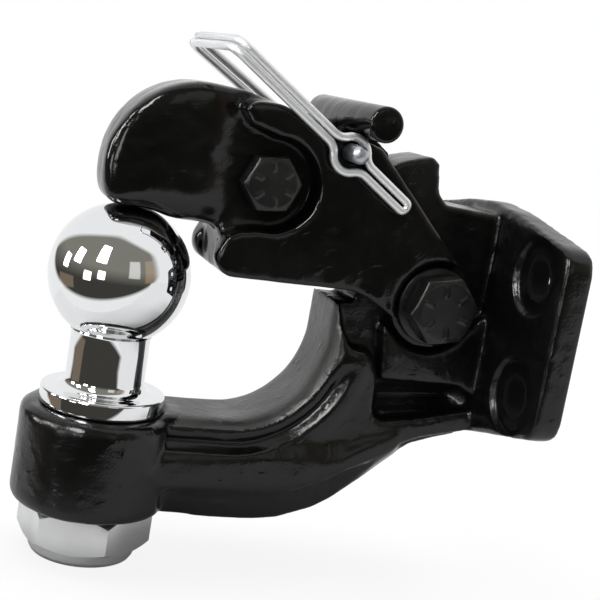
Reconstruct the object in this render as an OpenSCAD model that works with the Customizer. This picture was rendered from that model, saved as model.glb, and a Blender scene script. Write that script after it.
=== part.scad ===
// Combination ball and pintle hook with a pivoting upper jaw, lock lever and wire-bail safety pin.
// Millimetres. Origin at the centre of the four-bolt pattern on the mounting face.
// +X leaves the mounting face towards the vehicle, +Z is up, the hook reaches out along -X.

/* [Tow ball] */
// Diameter of the ball
ball_d = 50.8; // [49:0.1:52]
// Diameter of the neck under the ball
neck_d = 28.6; // [27:0.1:30]
// Diameter of the seating collar
collar_d = 45; // [43:0.5:48]
// Height of the seating collar
collar_h = 6.4; // [5:0.1:8]
// Diameter of the shank in the boss
shank_d = 25.4; // [23:0.1:26]
// Width of the lock nut across its flats
nut_af = 43; // [41:0.5:45]
// Height of the hex part of the lock nut
nut_hex_h = 14; // [12:0.5:15]

/* [Mounting plate] */
// Width of the plate across the hook
plate_w = 128; // [124:1:134]
// Thickness of the plate
plate_t = 11; // [10.5:0.5:13]
// Bolt spacing across the hook
bolt_span_y = 85.7; // [84:0.1:88]
// Bolt spacing up and down
bolt_span_z = 44.45; // [43:0.05:46]
// Diameter of the bolt holes
bolt_hole_d = 13.1; // [12.9:0.1:14.5]
// Diameter of the spotfaces
spot_d = 28.8; // [27:0.1:30]
// Depth of the spotfaces
spot_depth = 2.4; // [2:0.1:4]

/* [Body casting] */
// Diameter of the boss under the ball
boss_d = 57.2; // [55:0.2:60]
// Radius of the throat
throat_r = 34; // [33:0.2:35]
// Width of the rounded throat saddle
saddle_w = 39; // [37:0.5:41]
// Thickness of the centre web and pivot lug
web_t = 22.4; // [21:0.2:23]

/* [Upper jaw] */
// Width over the two cheeks
jaw_w = 42; // [41:0.5:44]
// Width of the nose
nose_w = 27; // [26:0.5:28]
// Radius of the nose profile
nose_r = 33.2; // [32.4:0.2:34]
// Diameter of the wrench reliefs round the bolts
relief_d = 34; // [33:0.2:35]

/* [Lock lever and handle] */
// Thickness of the lever plate
lever_t = 8; // [7:0.1:8.4]
// Diameter of the cross handle
handle_d = 12.7; // [12:0.1:13.4]
// Length of the cross handle
handle_l = 67.6; // [62:0.2:72]

/* [Safety pin] */
// Diameter of the pin
pin_d = 6.35; // [6:0.05:6.6]
// Diameter of the bail wire
wire_d = 2.8; // [2.5:0.1:2.9]
// Reach of the bail from the pin to its cross bend
bail_reach = 57; // [55:0.5:60]

/* [Bolts] */
// Diameter of the front bolt
front_bolt_d = 12.7; // [12:0.1:13]
// Diameter of the pivot bolt
pivot_bolt_d = 15.88; // [15:0.02:16.2]

/* [Hidden] */
$fn = 64;
eps = 0.02;
run_gap = 0.08;
free_gap = 0.35;
past = 40;

// pivot of the jaw, pivot of the lever, seat of the safety pin, axis of the cross handle
pivot = [-35.3, 3.5];
latch = [-106.1, 40.4];
pin_at = [-80.4, 55.7];
handle_at = [-73.9, 67.4];

// tow ball and its boss
ball_x = -151.5;
boss_top = -49.2;
boss_h = 36.5;
boss_low = boss_top - boss_h;
boss_edge = 4;
seat_room = 1.2;
ball_z = boss_top + 48.9;
ball_flat = 21.2;
neck_flare = 4;
shank_end = 17.6;
insert_h = 5.4;
insert_r = 19.4;
insert_wall = 4.6;
insert_in = 2.4;

// plate outline, half of it, from the crown round to the heel
plate_crown = 44.5;
plate_shoulder = 36.3;
plate_heel = -36.4;
plate_keel = -47;
plate_corner = 8;
plate_slope_y = 18;

// web and throat
throat_c = [-107, -13.5];
web_h = web_t / 2;
saddle_h = saddle_w / 2;
saddle_depth = 16.5;
saddle_round = 9;
throat_floor = throat_c[1] - throat_r;
post_front = throat_c[0] + throat_r;
post_top = 0.5;
flange_h = 21.5;
flange_top = -62;
flange_low = -71.5;
keel_h = 11;
belly_low = -87.2;
belly_rear = -60;
heel_x = -30.5;
heel_z = -53;
ridge_mid = [-70, -66.4];
ridge_end = [-40, -52];
keel_mid = [-68, -81.7];
nut_turn = 39.6;
strap_top = -16.2;
pad_h = 17;
pad_front = -54;
pad_low = -27;
pocket_front = -52.5;
eye_clear = 18.2;
horn_r = 55;
horn_rear = -40.4;
horn_foot = 41;
horn_lip = 112.5;
ramp_deg = 43.5;
ramp_len = 13.5;
lug_front = -66.5;
bushing_wall = 3;

// jaw
jaw_h = jaw_w / 2;
cheek_in = web_h + 0.3;
core_h = cheek_in;
eye_h = cheek_in + 4.6;
eye_r = 17;
nose_c = [-131, 38.4];
nose_low = 22.3;
nose_tip_h = 9.5;
nose_bevel = 8.5;
nose_bevel_h = 5.5;
nose_top = nose_c[1] + nose_r;
ball_room = 1.2;
cheek_top = 68.4;
cheek_low = 6.2;
cheek_tip = 7;
finger_front = -121;
finger_low_front = -123;
slot_h = lever_t / 2 + free_gap;
core_rear = horn_r + 1.5;
hub_room = 13.4;
slot_floor = 27;
spring_room = 4.6;

// lever
lever_h = lever_t / 2;
hub_r = 12;
lift_deg = 16.8;
bush_r = front_bolt_d / 2 + 2.2;
pin_r = pin_d / 2;
slot_gap = 1.2;
slot_r = pin_r + slot_gap;
slot_foot = 2.6;
slot_mouth = 40;
tongue = 3.8;
tongue_up = 1.2;
weld_pin_r = 1.6;

// bolts
front_r = front_bolt_d / 2;
front_af = front_bolt_d * 1.5;
front_head_h = front_bolt_d * 0.63;
front_nut_h = front_bolt_d * 0.9;
front_washer_h = 2.4;
pivot_r = pivot_bolt_d / 2;
pivot_af = pivot_bolt_d * 1.5;
pivot_head_h = pivot_bolt_d * 0.62;
pivot_nut_h = pivot_bolt_d * 0.85;
pivot_washer_h = 2.5;
thread_out = 3;
chamfer = 1;

// safety pin
head_r = 6.2;
head_h = 8;
head_y = jaw_h + 0.4;
tip_y = jaw_h + 11.5;
wire_r = wire_d / 2;
bail_deg = 146.7;
far_lean = 2.4;
far_reach = 2.6;
strand = wire_r + 0.22;
bail_y = jaw_h + 3.1;
eye_wire = pin_r + wire_r + 1.8;
eye_shift = 0.7;
near_off = 1.3;
far_off = 0.6;
tail_reach = 27;
tail_half = wire_r + 0.45;
flare = 6;
top_r = 5;
wire_start = 2.4;

spring_wire = 0.75;
spring_coil = bush_r + spring_wire + 0.4;
spring_turns = 2;
spring_start = 200;
spring_leg = 2;

// Colours of the raw CAD
paint = [0.06, 0.06, 0.065];
chrome = [0.82, 0.83, 0.85];
zinc = [0.72, 0.73, 0.75];
nylon = [0.25, 0.35, 0.6];
bronze = [0.55, 0.42, 0.22];

function on_circle(c, r, a) = [c[0] + r * cos(a), c[1] + r * sin(a)];
function arc_pts(c, r, a0, a1, n) = [for (i = [0 : n]) on_circle(c, r, a0 + (a1 - a0) * i / n)];
function along(p, d, a) = [p[0] + d * cos(a), p[1] + d * sin(a)];

// Profile drawn in x and z, thickened evenly about the middle plane
module slab(half) {
    rotate([90, 0, 0])
        linear_extrude(height = 2 * half, center = true)
            children();
}

// The same profile on both sides, between two distances from the middle plane
module both_sides(inner, outer) {
    for (side = [-1, 1])
        translate([0, side * (inner + outer) / 2, 0])
            slab((outer - inner) / 2)
                children();
}

// Round bar along y at a place in the side view
module bar(at, r, y0, y1) {
    translate([at[0], y1, at[1]])
        rotate([90, 0, 0])
            cylinder(r = r, h = y1 - y0);
}

// Hex prism along y at a place in the side view
module hex_bar(at, af, y0, y1, turn) {
    translate([at[0], y1, at[1]])
        rotate([90, 0, 0])
            rotate([0, 0, turn])
                cylinder(d = af / cos(30), h = y1 - y0, $fn = 6);
}

// Turned bar with a chamfer at both ends, standing on z = 0
module turned(r, h, c) {
    rotate_extrude()
        polygon([[0, 0], [r - c, 0], [r, c], [r, h - c], [r - c, h], [0, h]]);
}

// Section of the throat saddle: depth below the throat surface and half width
module saddle_section() {
    translate([saddle_round, -saddle_h])
        square([saddle_depth - saddle_round, saddle_w]);
    translate([0, -saddle_h + saddle_round])
        square([saddle_depth, saddle_w - 2 * saddle_round]);
    for (side = [-1, 1])
        translate([saddle_round, side * (saddle_h - saddle_round)])
            circle(r = saddle_round);
}

// Saddle swept along the arm, round the throat and up the post
module saddle() {
    translate([throat_c[0], 0, throat_c[1]])
        rotate([90, 0, 0])
            rotate([0, 0, -90])
                rotate_extrude(angle = 90)
                    translate([throat_r, 0])
                        saddle_section();
    translate([throat_c[0], 0, throat_floor])
        rotate([0, 90, 180])
            linear_extrude(height = throat_c[0] - ball_x)
                saddle_section();
    translate([post_front, 0, throat_c[1]])
        linear_extrude(height = post_top - throat_c[1])
            saddle_section();
}

// Arm and belly under the throat: a flange with a ridge along each side, sloping in to a narrow keel
module arm_front() {
    hull() {
        slab(flange_h)
            polygon([[-136, flange_top], [-136, flange_low], [-92, flange_low + 0.2], [-80, -70.2],
                     ridge_mid, ridge_mid + [0, 8.4]]);
        slab(keel_h)
            polygon([[-136, boss_low + 1], [-110, belly_low + 0.4], [-96, belly_low], [-82, belly_low + 1],
                     keel_mid, [keel_mid[0], flange_top]]);
        slab(saddle_h - 1)
            polygon([[-136, flange_top + 6], [-136, flange_top], ridge_mid + [0, 8.4], [-75, -51]]);
    }
}

// The same form where it climbs towards the plate
module arm_rear() {
    hull() {
        slab(flange_h)
            polygon([ridge_mid + [0, 8.4], ridge_mid, ridge_mid + [1, 0.5], ridge_mid + [1, 8.4]]);
        slab(saddle_h - 0.4)
            polygon([ridge_end - [1, 0.5], ridge_end, ridge_end + [0, 5], ridge_end + [-1, 5]]);
        slab(keel_h)
            polygon([keel_mid, [belly_rear, -77], [-42, -61.8], [-36, -56.8], [-36, -50],
                     [keel_mid[0], flange_top]]);
    }
}

// Strap behind the throat and the flange that runs on from it to the plate
module heel_profile() {
    polygon([[-84, -64], ridge_mid + [0, 2], ridge_end, [heel_x, -48.4], [-22, -46.4], [-plate_t, plate_keel + 3],
             [-plate_t, plate_keel + 11], [heel_x, -40], [pocket_front + 5, -42.6],
             [pocket_front + 1.4, -41], [pocket_front, -37], [-53, -25], [-55.4, -19],
             [-59.4, strap_top], [-68, strap_top], [-76, -40]]);
}

// Recess beside the post, between the throat strap and the pad
module recess_profile() {
    polygon([[-72.6, 6], [-72, 0.5], [-70, -8.6], [-66.4, -14.8], [-63.6, strap_top], [-59.4, strap_top],
             [-55.4, -19], [-53, -25], [-40, -25], [-40, 6]]);
}

// Centre web with the pivot lug and the horn that the lock lever bears on
module web_profile() {
    lip = on_circle(pivot, horn_r, horn_lip);
    foot = along(lip, -ramp_len, ramp_deg);
    polygon(concat(
        [[-plate_t, horn_foot - 1], [horn_rear + 6, horn_foot], [horn_rear + 2, horn_foot + 4]],
        [[horn_rear + 0.5, horn_foot + 12], [horn_rear, horn_foot + 14.8]],
        arc_pts(pivot, horn_r, 98.5, horn_lip, 6),
        [foot, [lug_front, foot[1] - 3], [lug_front, 20], [post_front + saddle_depth / 2, 2]],
        [[post_front + saddle_depth / 2, throat_c[1]], [-80, -50], [-84, flange_low]],
        [[-60, -74], [-45, -63], [heel_x, heel_z], [-plate_t, plate_keel]]));
}

// Raised pad beside the pivot, below the jaw's eye
module pad_profile() {
    polygon([[pad_front, -5], [pad_front + 3, pad_low], [-18, pad_low], [-plate_t, pad_low - 4],
             [-plate_t, 2], [-15, -1], [-18, -5]]);
}

module plate_outline() {
    half = plate_w / 2;
    corner_z = plate_shoulder - plate_corner;
    for (side = [-1, 1])
        scale([side, 1])
            polygon(concat(
                [[0, plate_keel], [0, plate_crown], [plate_slope_y, plate_crown - 1.5]],
                arc_pts([half - plate_corner, corner_z], plate_corner, 78, 0, 5),
                arc_pts([half - plate_corner, plate_heel + plate_corner + 2], plate_corner, 0, -72, 5),
                [[plate_slope_y, plate_keel + 3]]));
}

module plate_blank() {
    translate([-plate_t, 0, 0])
        rotate([90, 0, 90])
            linear_extrude(height = plate_t)
                plate_outline();
}

module bolt_places() {
    for (sy = [-1, 1])
        for (sz = [-1, 1])
            translate([0, sy * bolt_span_y / 2, sz * bolt_span_z / 2])
                rotate([0, -90, 0])
                    children();
}

module boss_blank() {
    r = boss_d / 2;
    translate([ball_x, 0, boss_low])
        rotate_extrude() {
            square([r - boss_edge, boss_h]);
            translate([0, boss_edge])
                square([r, boss_h - 2 * boss_edge]);
            for (z = [boss_edge, boss_h - boss_edge])
                translate([r - boss_edge, z])
                    circle(r = boss_edge);
        }
}

module body_casting() {
    color(paint)
        difference() {
            union() {
                plate_blank();
                boss_blank();
                arm_front();
                arm_rear();
                difference() {
                    union() {
                        saddle();
                        slab(saddle_h - 1)
                            heel_profile();
                    }
                    both_sides(web_h, past)
                        recess_profile();
                }
                slab(web_h)
                    web_profile();
                slab(pad_h)
                    pad_profile();
            }
            // room for the jaw's eyes and cheeks
            both_sides(web_h, past) {
                translate(pivot)
                    circle(r = eye_clear);
                polygon([[-90, 4], [-66, 2.6], [-57, -2.4], [-49, -9], pivot, [-49, 22], [-90, 22]]);
            }
            bar(pivot, pivot_r + bushing_wall, -past, past);
            translate([ball_x, 0, boss_low - 1])
                cylinder(d = shank_d + 0.4, h = boss_h + 2);
            // flat seat for the ball's collar
            translate([ball_x, 0, boss_top])
                cylinder(d = collar_d + 2 * seat_room, h = past / 2);
            translate([1, 0, 0])
                bolt_places()
                    cylinder(d = bolt_hole_d, h = past);
            translate([-plate_t + spot_depth, 0, 0])
                bolt_places()
                    cylinder(d = spot_d, h = past / 2);
        }
}

module tow_ball() {
    r = ball_d / 2;
    neck = neck_d / 2;
    collar = collar_d / 2;
    shank = shank_d / 2;
    color(chrome)
        translate([ball_x, 0, 0]) {
            intersection() {
                translate([0, 0, ball_z])
                    sphere(r = r, $fn = 96);
                translate([0, 0, ball_z - ball_flat + r])
                    cube([ball_d + 2, ball_d + 2, 2 * r], center = true);
            }
            rotate_extrude()
                difference() {
                    polygon([[0, boss_low - shank_end], [shank - chamfer, boss_low - shank_end],
                             [shank, boss_low - shank_end + chamfer], [shank, boss_top],
                             [collar - chamfer, boss_top], [collar, boss_top + chamfer],
                             [collar, boss_top + collar_h - chamfer],
                             [collar - chamfer, boss_top + collar_h],
                             [neck + neck_flare, boss_top + collar_h],
                             [neck, boss_top + collar_h + neck_flare],
                             [neck, ball_z - ball_flat + 1], [0, ball_z - ball_flat + 1]]);
                    translate([neck + neck_flare, boss_top + collar_h + neck_flare])
                        circle(r = neck_flare);
                }
        }
}

module ball_lock_nut() {
    color(zinc)
        translate([ball_x, 0, boss_low - nut_hex_h - insert_h])
            difference() {
                union() {
                    intersection() {
                        translate([0, 0, insert_h])
                            rotate([0, 0, nut_turn])
                                cylinder(d = nut_af / cos(30), h = nut_hex_h, $fn = 6);
                        translate([0, 0, insert_h - 1])
                            rotate_extrude()
                                polygon([[0, 0], [nut_af / 2 - 1, 0], [nut_af / 2 + 4, 5],
                                         [nut_af / 2 + 4, nut_hex_h - 2], [nut_af / 2, nut_hex_h + 1],
                                         [0, nut_hex_h + 1]]);
                    }
                    rotate_extrude()
                        polygon([[0, 0], [insert_r - 1.5, 0], [insert_r, 1.5], [insert_r, insert_h + 1],
                                 [0, insert_h + 1]]);
                }
                translate([0, 0, -1])
                    cylinder(d = shank_d, h = past);
                translate([0, 0, -1])
                    cylinder(r = insert_r - insert_wall + 1, h = insert_in + 1);
            }
}

module nut_insert() {
    color(nylon)
        translate([ball_x, 0, boss_low - nut_hex_h - insert_h])
            difference() {
                cylinder(r = insert_r - insert_wall + 1, h = insert_in);
                translate([0, 0, -1])
                    cylinder(d = shank_d, h = past);
            }
}

// Hex head bolt along y, head on the near side with a round chamfer
module hex_bolt(at, r, af, head_h, seat, end, turn) {
    difference() {
        union() {
            intersection() {
                hex_bar(at, af, -seat - head_h, -seat, turn);
                translate([at[0], -seat - head_h, at[1]])
                    rotate([-90, 0, 0])
                        rotate_extrude()
                            polygon([[0, 0], [af * 0.46, 0], [af * 0.62, af * 0.08],
                                     [af * 0.62, head_h + 1], [0, head_h + 1]]);
            }
            translate([at[0], -seat - eps, at[1]])
                rotate([-90, 0, 0])
                    rotate_extrude()
                        polygon([[0, 0], [r, 0], [r, seat + end - chamfer], [r - chamfer, seat + end],
                                 [0, seat + end]]);
        }
        // six shallow radial strength marks
        for (a = [0 : 60 : 300])
            translate([at[0], -seat - head_h, at[1]])
                rotate([0, a + 10, 0])
                    translate([af * 0.31, 0, 0])
                        cube([af * 0.18, 0.8, af * 0.035], center = true);
    }
}

// Hex lock nut along y with a round end
module hex_nut(at, r, af, seat, h, turn) {
    difference() {
        union() {
            hex_bar(at, af, seat, seat + h * 0.72, turn);
            bar(at, af * 0.43, seat, seat + h);
        }
        bar(at, r, seat - 1, seat + h + 1);
    }
}

module washer(at, r, wide, y0, y1) {
    difference() {
        bar(at, wide, y0, y1);
        bar(at, r + 0.3, y0 - 1, y1 + 1);
    }
}

module pivot_bolt() {
    color(zinc)
        hex_bolt(pivot, pivot_r, pivot_af, pivot_head_h, eye_h + 0.3 + pivot_washer_h,
                 eye_h + 0.3 + pivot_washer_h + pivot_nut_h + thread_out, 10);
}

module pivot_washer_near() {
    color(zinc)
        washer(pivot, pivot_r, pivot_r * 1.86, -eye_h - 0.3 - pivot_washer_h, -eye_h - 0.3);
}

module pivot_washer_far() {
    color(zinc)
        washer(pivot, pivot_r, pivot_r * 1.86, eye_h + 0.3, eye_h + 0.3 + pivot_washer_h);
}

module pivot_nut() {
    color(zinc)
        hex_nut(pivot, pivot_r, pivot_af, eye_h + 0.3 + pivot_washer_h, pivot_nut_h, 10);
}

module pivot_bushing() {
    color(bronze)
        difference() {
            bar(pivot, pivot_r + bushing_wall, -web_h, web_h);
            bar(pivot, pivot_r, -web_h - 1, web_h + 1);
        }
}

// Side view of the nose and of the core that joins the two cheeks
module core_profile() {
    difference() {
        union() {
            intersection() {
                translate(nose_c)
                    circle(r = nose_r, $fn = 96);
                translate([nose_c[0] - nose_r, nose_low])
                    square([2 * nose_r, 2 * nose_r]);
            }
            polygon([[nose_c[0], nose_low], [nose_c[0], nose_top], [-118, nose_top - 0.8],
                     [-108, cheek_top], [-92, 62], [-84, 59.4], [-70, 59.4], [-70, cheek_low],
                     [finger_low_front + 4, cheek_low], [finger_low_front + 2, nose_low]]);
        }
        translate(pivot)
            circle(r = core_rear, $fn = 96);
        // front lower corner of the nose
        polygon([[nose_c[0] - nose_r - 1, nose_low - 1], [nose_c[0] - nose_r - 1, nose_low + 7],
                 [nose_c[0] - nose_r + 2, nose_low + 5], [nose_c[0] - nose_r + 6.5, nose_low + 1.4],
                 [nose_c[0] - nose_r + 10, nose_low - 1]]);
    }
}

// Plan view of the nose and core
module core_plan() {
    half = nose_w / 2;
    front = nose_c[0] - nose_r;
    polygon([[front, -nose_tip_h], [front + 5, -half + 2], [front + 16, -half], [-128, -half],
             [finger_front, -core_h], [-60, -core_h], [-60, core_h], [finger_front, core_h],
             [-128, half], [front + 16, half], [front + 5, half - 2], [front, nose_tip_h]]);
}

// Bevels along the lower edges of the nose
module nose_bevels() {
    half = nose_w / 2;
    for (side = [-1, 1])
        translate([nose_c[0] - nose_r - 1, 0, 0])
            rotate([90, 0, 90])
                linear_extrude(height = finger_low_front + 3 - nose_c[0] + nose_r)
                    polygon([[side * (half - nose_bevel_h), nose_low - 0.1],
                             [side * (half + 0.1), nose_low + nose_bevel], [side * past, nose_low + nose_bevel],
                             [side * past, nose_low - 0.1]]);
}

// Side view of a cheek with the wrench reliefs cut out
module cheek_profile() {
    seat = handle_at[1] - handle_d / 2 - 0.5;
    difference() {
        union() {
            polygon([[finger_front, cheek_top - 3.4], [finger_front + 3, cheek_top - 0.6], [-115, cheek_top],
                     [-108.5, cheek_top], [-92, cheek_top - 4], [-82, seat + 1.2], [-76, seat],
                     [-68, seat - 2.2], [-28.5, 19.2], pivot, [-49.5, -4], [-58.2, 1.2], [-65, 4.6],
                     [-71, cheek_low], [finger_low_front + cheek_tip, cheek_low],
                     [finger_low_front, cheek_low + cheek_tip], [finger_low_front + 3, nose_low - 1.8],
                     [-117, nose_low - 0.6], [-100, 40], [-117, latch[1] + relief_d / 2 + 2.6]]);
            translate([finger_low_front + cheek_tip, cheek_low + cheek_tip])
                circle(r = cheek_tip);
        }
        translate(latch)
            circle(d = relief_d);
        polygon([[finger_front - 5, nose_low - 1], latch - [0, relief_d / 2 - 0.5],
                 latch + [0, relief_d / 2 - 0.2], [-118.4, latch[1] + relief_d / 2 + 3],
                 [finger_front - 5, cheek_top - 4]]);
        translate(pivot)
            circle(d = relief_d);
    }
}

// Thin eyes of the cheeks round the pivot bolt
module eye_profile() {
    translate(pivot)
        circle(r = eye_r);
    polygon([[-28.5, 19.2], pivot, [-49.5, -4], [-58, 1.2], [-60, 30]]);
}

// Room for the lever between the cheeks
module slot_profile() {
    translate(latch)
        circle(r = hub_room);
    polygon([[latch[0] - 1, latch[1] - hub_room], [-60, slot_floor - 2], [-60, past * 3],
             [latch[0] + 2, past * 3], [latch[0] - 6, latch[1] + hub_room - 1]]);
}

module upper_jaw() {
    color(paint)
        difference() {
            union() {
                difference() {
                    intersection() {
                        slab(past)
                            core_profile();
                        translate([0, 0, -past])
                            linear_extrude(height = past * 4)
                                core_plan();
                    }
                    nose_bevels();
                }
                both_sides(cheek_in, jaw_h)
                    cheek_profile();
                both_sides(cheek_in, eye_h)
                    eye_profile();
            }
            slab(slot_h)
                slot_profile();
            bar(latch, hub_room, 0, slot_h + spring_room);
            bar(latch, front_r, -past, past);
            bar(pivot, pivot_r + run_gap, -past, past);
            bar(pin_at, pin_r + run_gap, -past, past);
            translate([ball_x, 0, ball_z])
                sphere(r = ball_d / 2 + ball_room, $fn = 96);
        }
}

module front_bolt() {
    color(zinc)
        hex_bolt(latch, front_r, front_af, front_head_h, core_h,
                 core_h + front_washer_h + front_nut_h + thread_out, 6);
}

module front_washer_far() {
    color(zinc)
        washer(latch, front_r, front_r * 1.95, core_h, core_h + front_washer_h);
}

module front_nut() {
    color(zinc)
        hex_nut(latch, front_r, front_af, core_h + front_washer_h, front_nut_h, 6);
}

module lever_bushing() {
    color(bronze)
        difference() {
            bar(latch, bush_r, -slot_h, slot_h + spring_room);
            bar(latch, front_r, -past, past);
        }
}

// Slot that keeps clear of the safety pin over the lever's lift, open at the top
module pin_slot(reach, start) {
    low = start - lift_deg - slot_foot;
    top = start + slot_mouth;
    intersection() {
        translate(latch)
            difference() {
                circle(r = reach + slot_r);
                circle(r = reach - slot_r);
            }
        polygon([latch, on_circle(latch, 2 * reach, low), on_circle(latch, 2 * reach, start),
                 on_circle(latch, 2 * reach, top)]);
    }
    translate(on_circle(latch, reach, low))
        circle(r = slot_r);
}

// Side view of the lever's web, its lower rear edge lying along the horn's ramp
module lever_profile() {
    lip = on_circle(pivot, horn_r, horn_lip);
    up = along(lip, free_gap, ramp_deg + 90);
    polygon([along(latch, hub_r - 0.4, 105), [-94, 58.5], [-86, 62.4], [-67, 62.4],
             along(up, -3, ramp_deg) + [0, 4], along(up, -2, ramp_deg),
             along(up, -20, ramp_deg), [-80, 33], along(latch, hub_r - 0.4, -80)]);
}

// Lock lever: hub on the bushing, web with the pin slot, and a tongue that the handle sits on
module lock_lever() {
    color(paint)
        difference() {
            union() {
                bar(latch, hub_r, -lever_h, lever_h);
                difference() {
                    slab(lever_h)
                        lever_profile();
                    bar(handle_at, handle_d / 2 + 0.05, -past, past);
                }
                translate([handle_at[0] - tongue, -lever_h, handle_at[1] - handle_d / 2 - 1])
                    cube([2 * tongue, lever_t, handle_d / 2 + 1 + tongue_up]);
            }
            slab(past)
                pin_slot(norm(pin_at - latch), atan2(pin_at[1] - latch[1], pin_at[0] - latch[0]));
            bar(latch, bush_r + run_gap, -past, past);
            bar([handle_at[0], handle_at[1] - 2.2], weld_pin_r, -past, past);
            bar(on_circle(latch, spring_coil, spring_start), spring_wire, lever_h - 2 * spring_leg, past);
        }
}

module cross_handle() {
    half = handle_l / 2;
    color(paint)
        difference() {
            translate([handle_at[0], half, handle_at[1]])
                rotate([90, 0, 0])
                    turned(handle_d / 2, handle_l, chamfer);
            translate([handle_at[0] - tongue, -lever_h, handle_at[1] - handle_d])
                cube([2 * tongue, lever_t, handle_d + tongue_up]);
            bar([handle_at[0], handle_at[1] - 2.2], weld_pin_r, -lever_h - 6, lever_h + 6);
        }
}

module handle_weld_pin() {
    color(zinc)
        bar([handle_at[0], handle_at[1] - 2.2], weld_pin_r, -lever_h - 6, lever_h + 6);
}

// Torsion spring round the bushing beside the lever, its leg set into the lever's hub
module lock_spring() {
    steps = 14;
    color(zinc)
        union() {
            hull() {
                coil_bead(0);
                translate([0, -spring_wire - spring_leg, 0])
                    coil_bead(0);
            }
            for (i = [0 : spring_turns * steps - 1])
                hull() {
                    coil_bead(i / steps);
                    coil_bead((i + 1) / steps);
                }
        }
}

// One link of the spring, a number of turns round the coil
module coil_bead(t) {
    p = on_circle(latch, spring_coil, spring_start + 360 * t);
    rise = 2 * spring_wire + 0.1;
    translate([p[0], lever_h + spring_wire + rise * t, p[1]])
        sphere(r = spring_wire, $fn = 8);
}

// Pin turned in one piece: shank with a rounded tip and a round head on the far side
module safety_pin() {
    l = tip_y + head_y;
    color(zinc)
        difference() {
            translate([pin_at[0], -tip_y, pin_at[1]])
                rotate([-90, 0, 0])
                    rotate_extrude() {
                        polygon([[0, 0], [pin_r * 0.5, 0], [pin_r * 0.87, pin_r * 0.3], [pin_r, pin_r * 0.7],
                                 [pin_r, l], [head_r - chamfer, l], [head_r, l + chamfer],
                                 [head_r, l + head_h - chamfer], [head_r - chamfer, l + head_h],
                                 [0, l + head_h]]);
                    }
            for (s = [-1, 1])
                bail_hole(s * strand);
        }
}

// Place of a point given along the bail, across it and at a distance y; the wire runs a little to one side
function bail_pt(u, v, y) =
    let (w = v + (y < 0 ? near_off : far_off),
         d = y < 0 ? u : u * (1 + far_reach / bail_reach),
         a = y < 0 ? bail_deg : bail_deg + far_lean)
    [pin_at[0] + d * cos(a) - w * sin(a), y, pin_at[1] + d * sin(a) + w * cos(a)];

// Points of a bend in the bail's plan, and of a bend from a strand to the cross run
function plan_bend(u, v, r, a0, a1, n, y) =
    [for (i = [0 : n]) let (a = a0 + (a1 - a0) * i / n) bail_pt(u + r * cos(a), v + r * sin(a), y)];
function top_bend(v, y, side, n) =
    [for (i = [0 : n]) let (a = 90 * i / n)
        bail_pt(bail_reach - top_r + top_r * sin(a), v, y + side * top_r * (1 - cos(a)))];
function turned_round(pts) = [for (i = [len(pts) - 1 : -1 : 0]) pts[i]];

// Half of the wire: far strand, cross run, near strand, half of the eye and of the closed tail
function bail_path(s) =
    let (yf = head_y + head_h / 2,
         in_u = sqrt(pow(eye_wire + flare, 2) - pow(strand + flare, 2)),
         in_a = atan2(strand + flare, in_u),
         out_u = sqrt(pow(eye_wire + flare, 2) - pow(tail_half + flare, 2)),
         out_a = atan2(tail_half + flare, out_u))
    concat([bail_pt(wire_start, s * strand, yf)],
           top_bend(s * strand, yf, -1, 4),
           turned_round(top_bend(s * strand, -bail_y, 1, 4)),
           plan_bend(eye_shift + in_u, s * (strand + flare), flare, s * -90, s * (in_a - 180), 3, -bail_y),
           plan_bend(eye_shift, 0, eye_wire, s * in_a, s * (180 - out_a), 6, -bail_y),
           plan_bend(eye_shift - out_u, s * (tail_half + flare), flare, s * -out_a, s * -90, 3, -bail_y),
           plan_bend(-tail_reach, 0, tail_half, s * 90, s * 180, 3, -bail_y));

// Straight hole for one end of the wire in the pin head
module bail_hole(v) {
    translate(bail_pt(wire_start - wire_r - 0.1, v, head_y + head_h / 2))
        rotate([0, 90 - bail_deg - far_lean, 0])
            cylinder(r = wire_r + 0.02, h = head_r + 2, $fn = 32);
}

module wire_bail() {
    color(zinc)
        union() {
            for (s = [-1, 1])
                let (pts = bail_path(s))
                    for (i = [1 : len(pts) - 1])
                        if (norm(pts[i] - pts[i - 1]) > 0.01)
                            hull() {
                                translate(pts[i - 1])
                                    sphere(r = wire_r, $fn = 8);
                                translate(pts[i])
                                    sphere(r = wire_r, $fn = 8);
                            }
        }
}

body_casting();
tow_ball();
ball_lock_nut();
nut_insert();
pivot_bolt();
pivot_washer_near();
pivot_washer_far();
pivot_nut();
pivot_bushing();
upper_jaw();
front_bolt();
front_washer_far();
front_nut();
lever_bushing();
lock_lever();
cross_handle();
handle_weld_pin();
lock_spring();
safety_pin();
wire_bail();
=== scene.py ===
"""Studio scene of a combination ball and pintle hook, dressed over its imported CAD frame.

Each sub-assembly is a class with its sizes in millimetres. Castings start from a copy of their CAD node and get
the soft edges and uneven skin of painted cast steel. Turned, hex and wire pieces are modelled from primitives.
"""

import logging
import math
from abc import ABC, abstractmethod
from dataclasses import dataclass
from enum import Enum
from typing import Callable, Sequence

import bpy
from mathutils import Matrix, Vector


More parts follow.
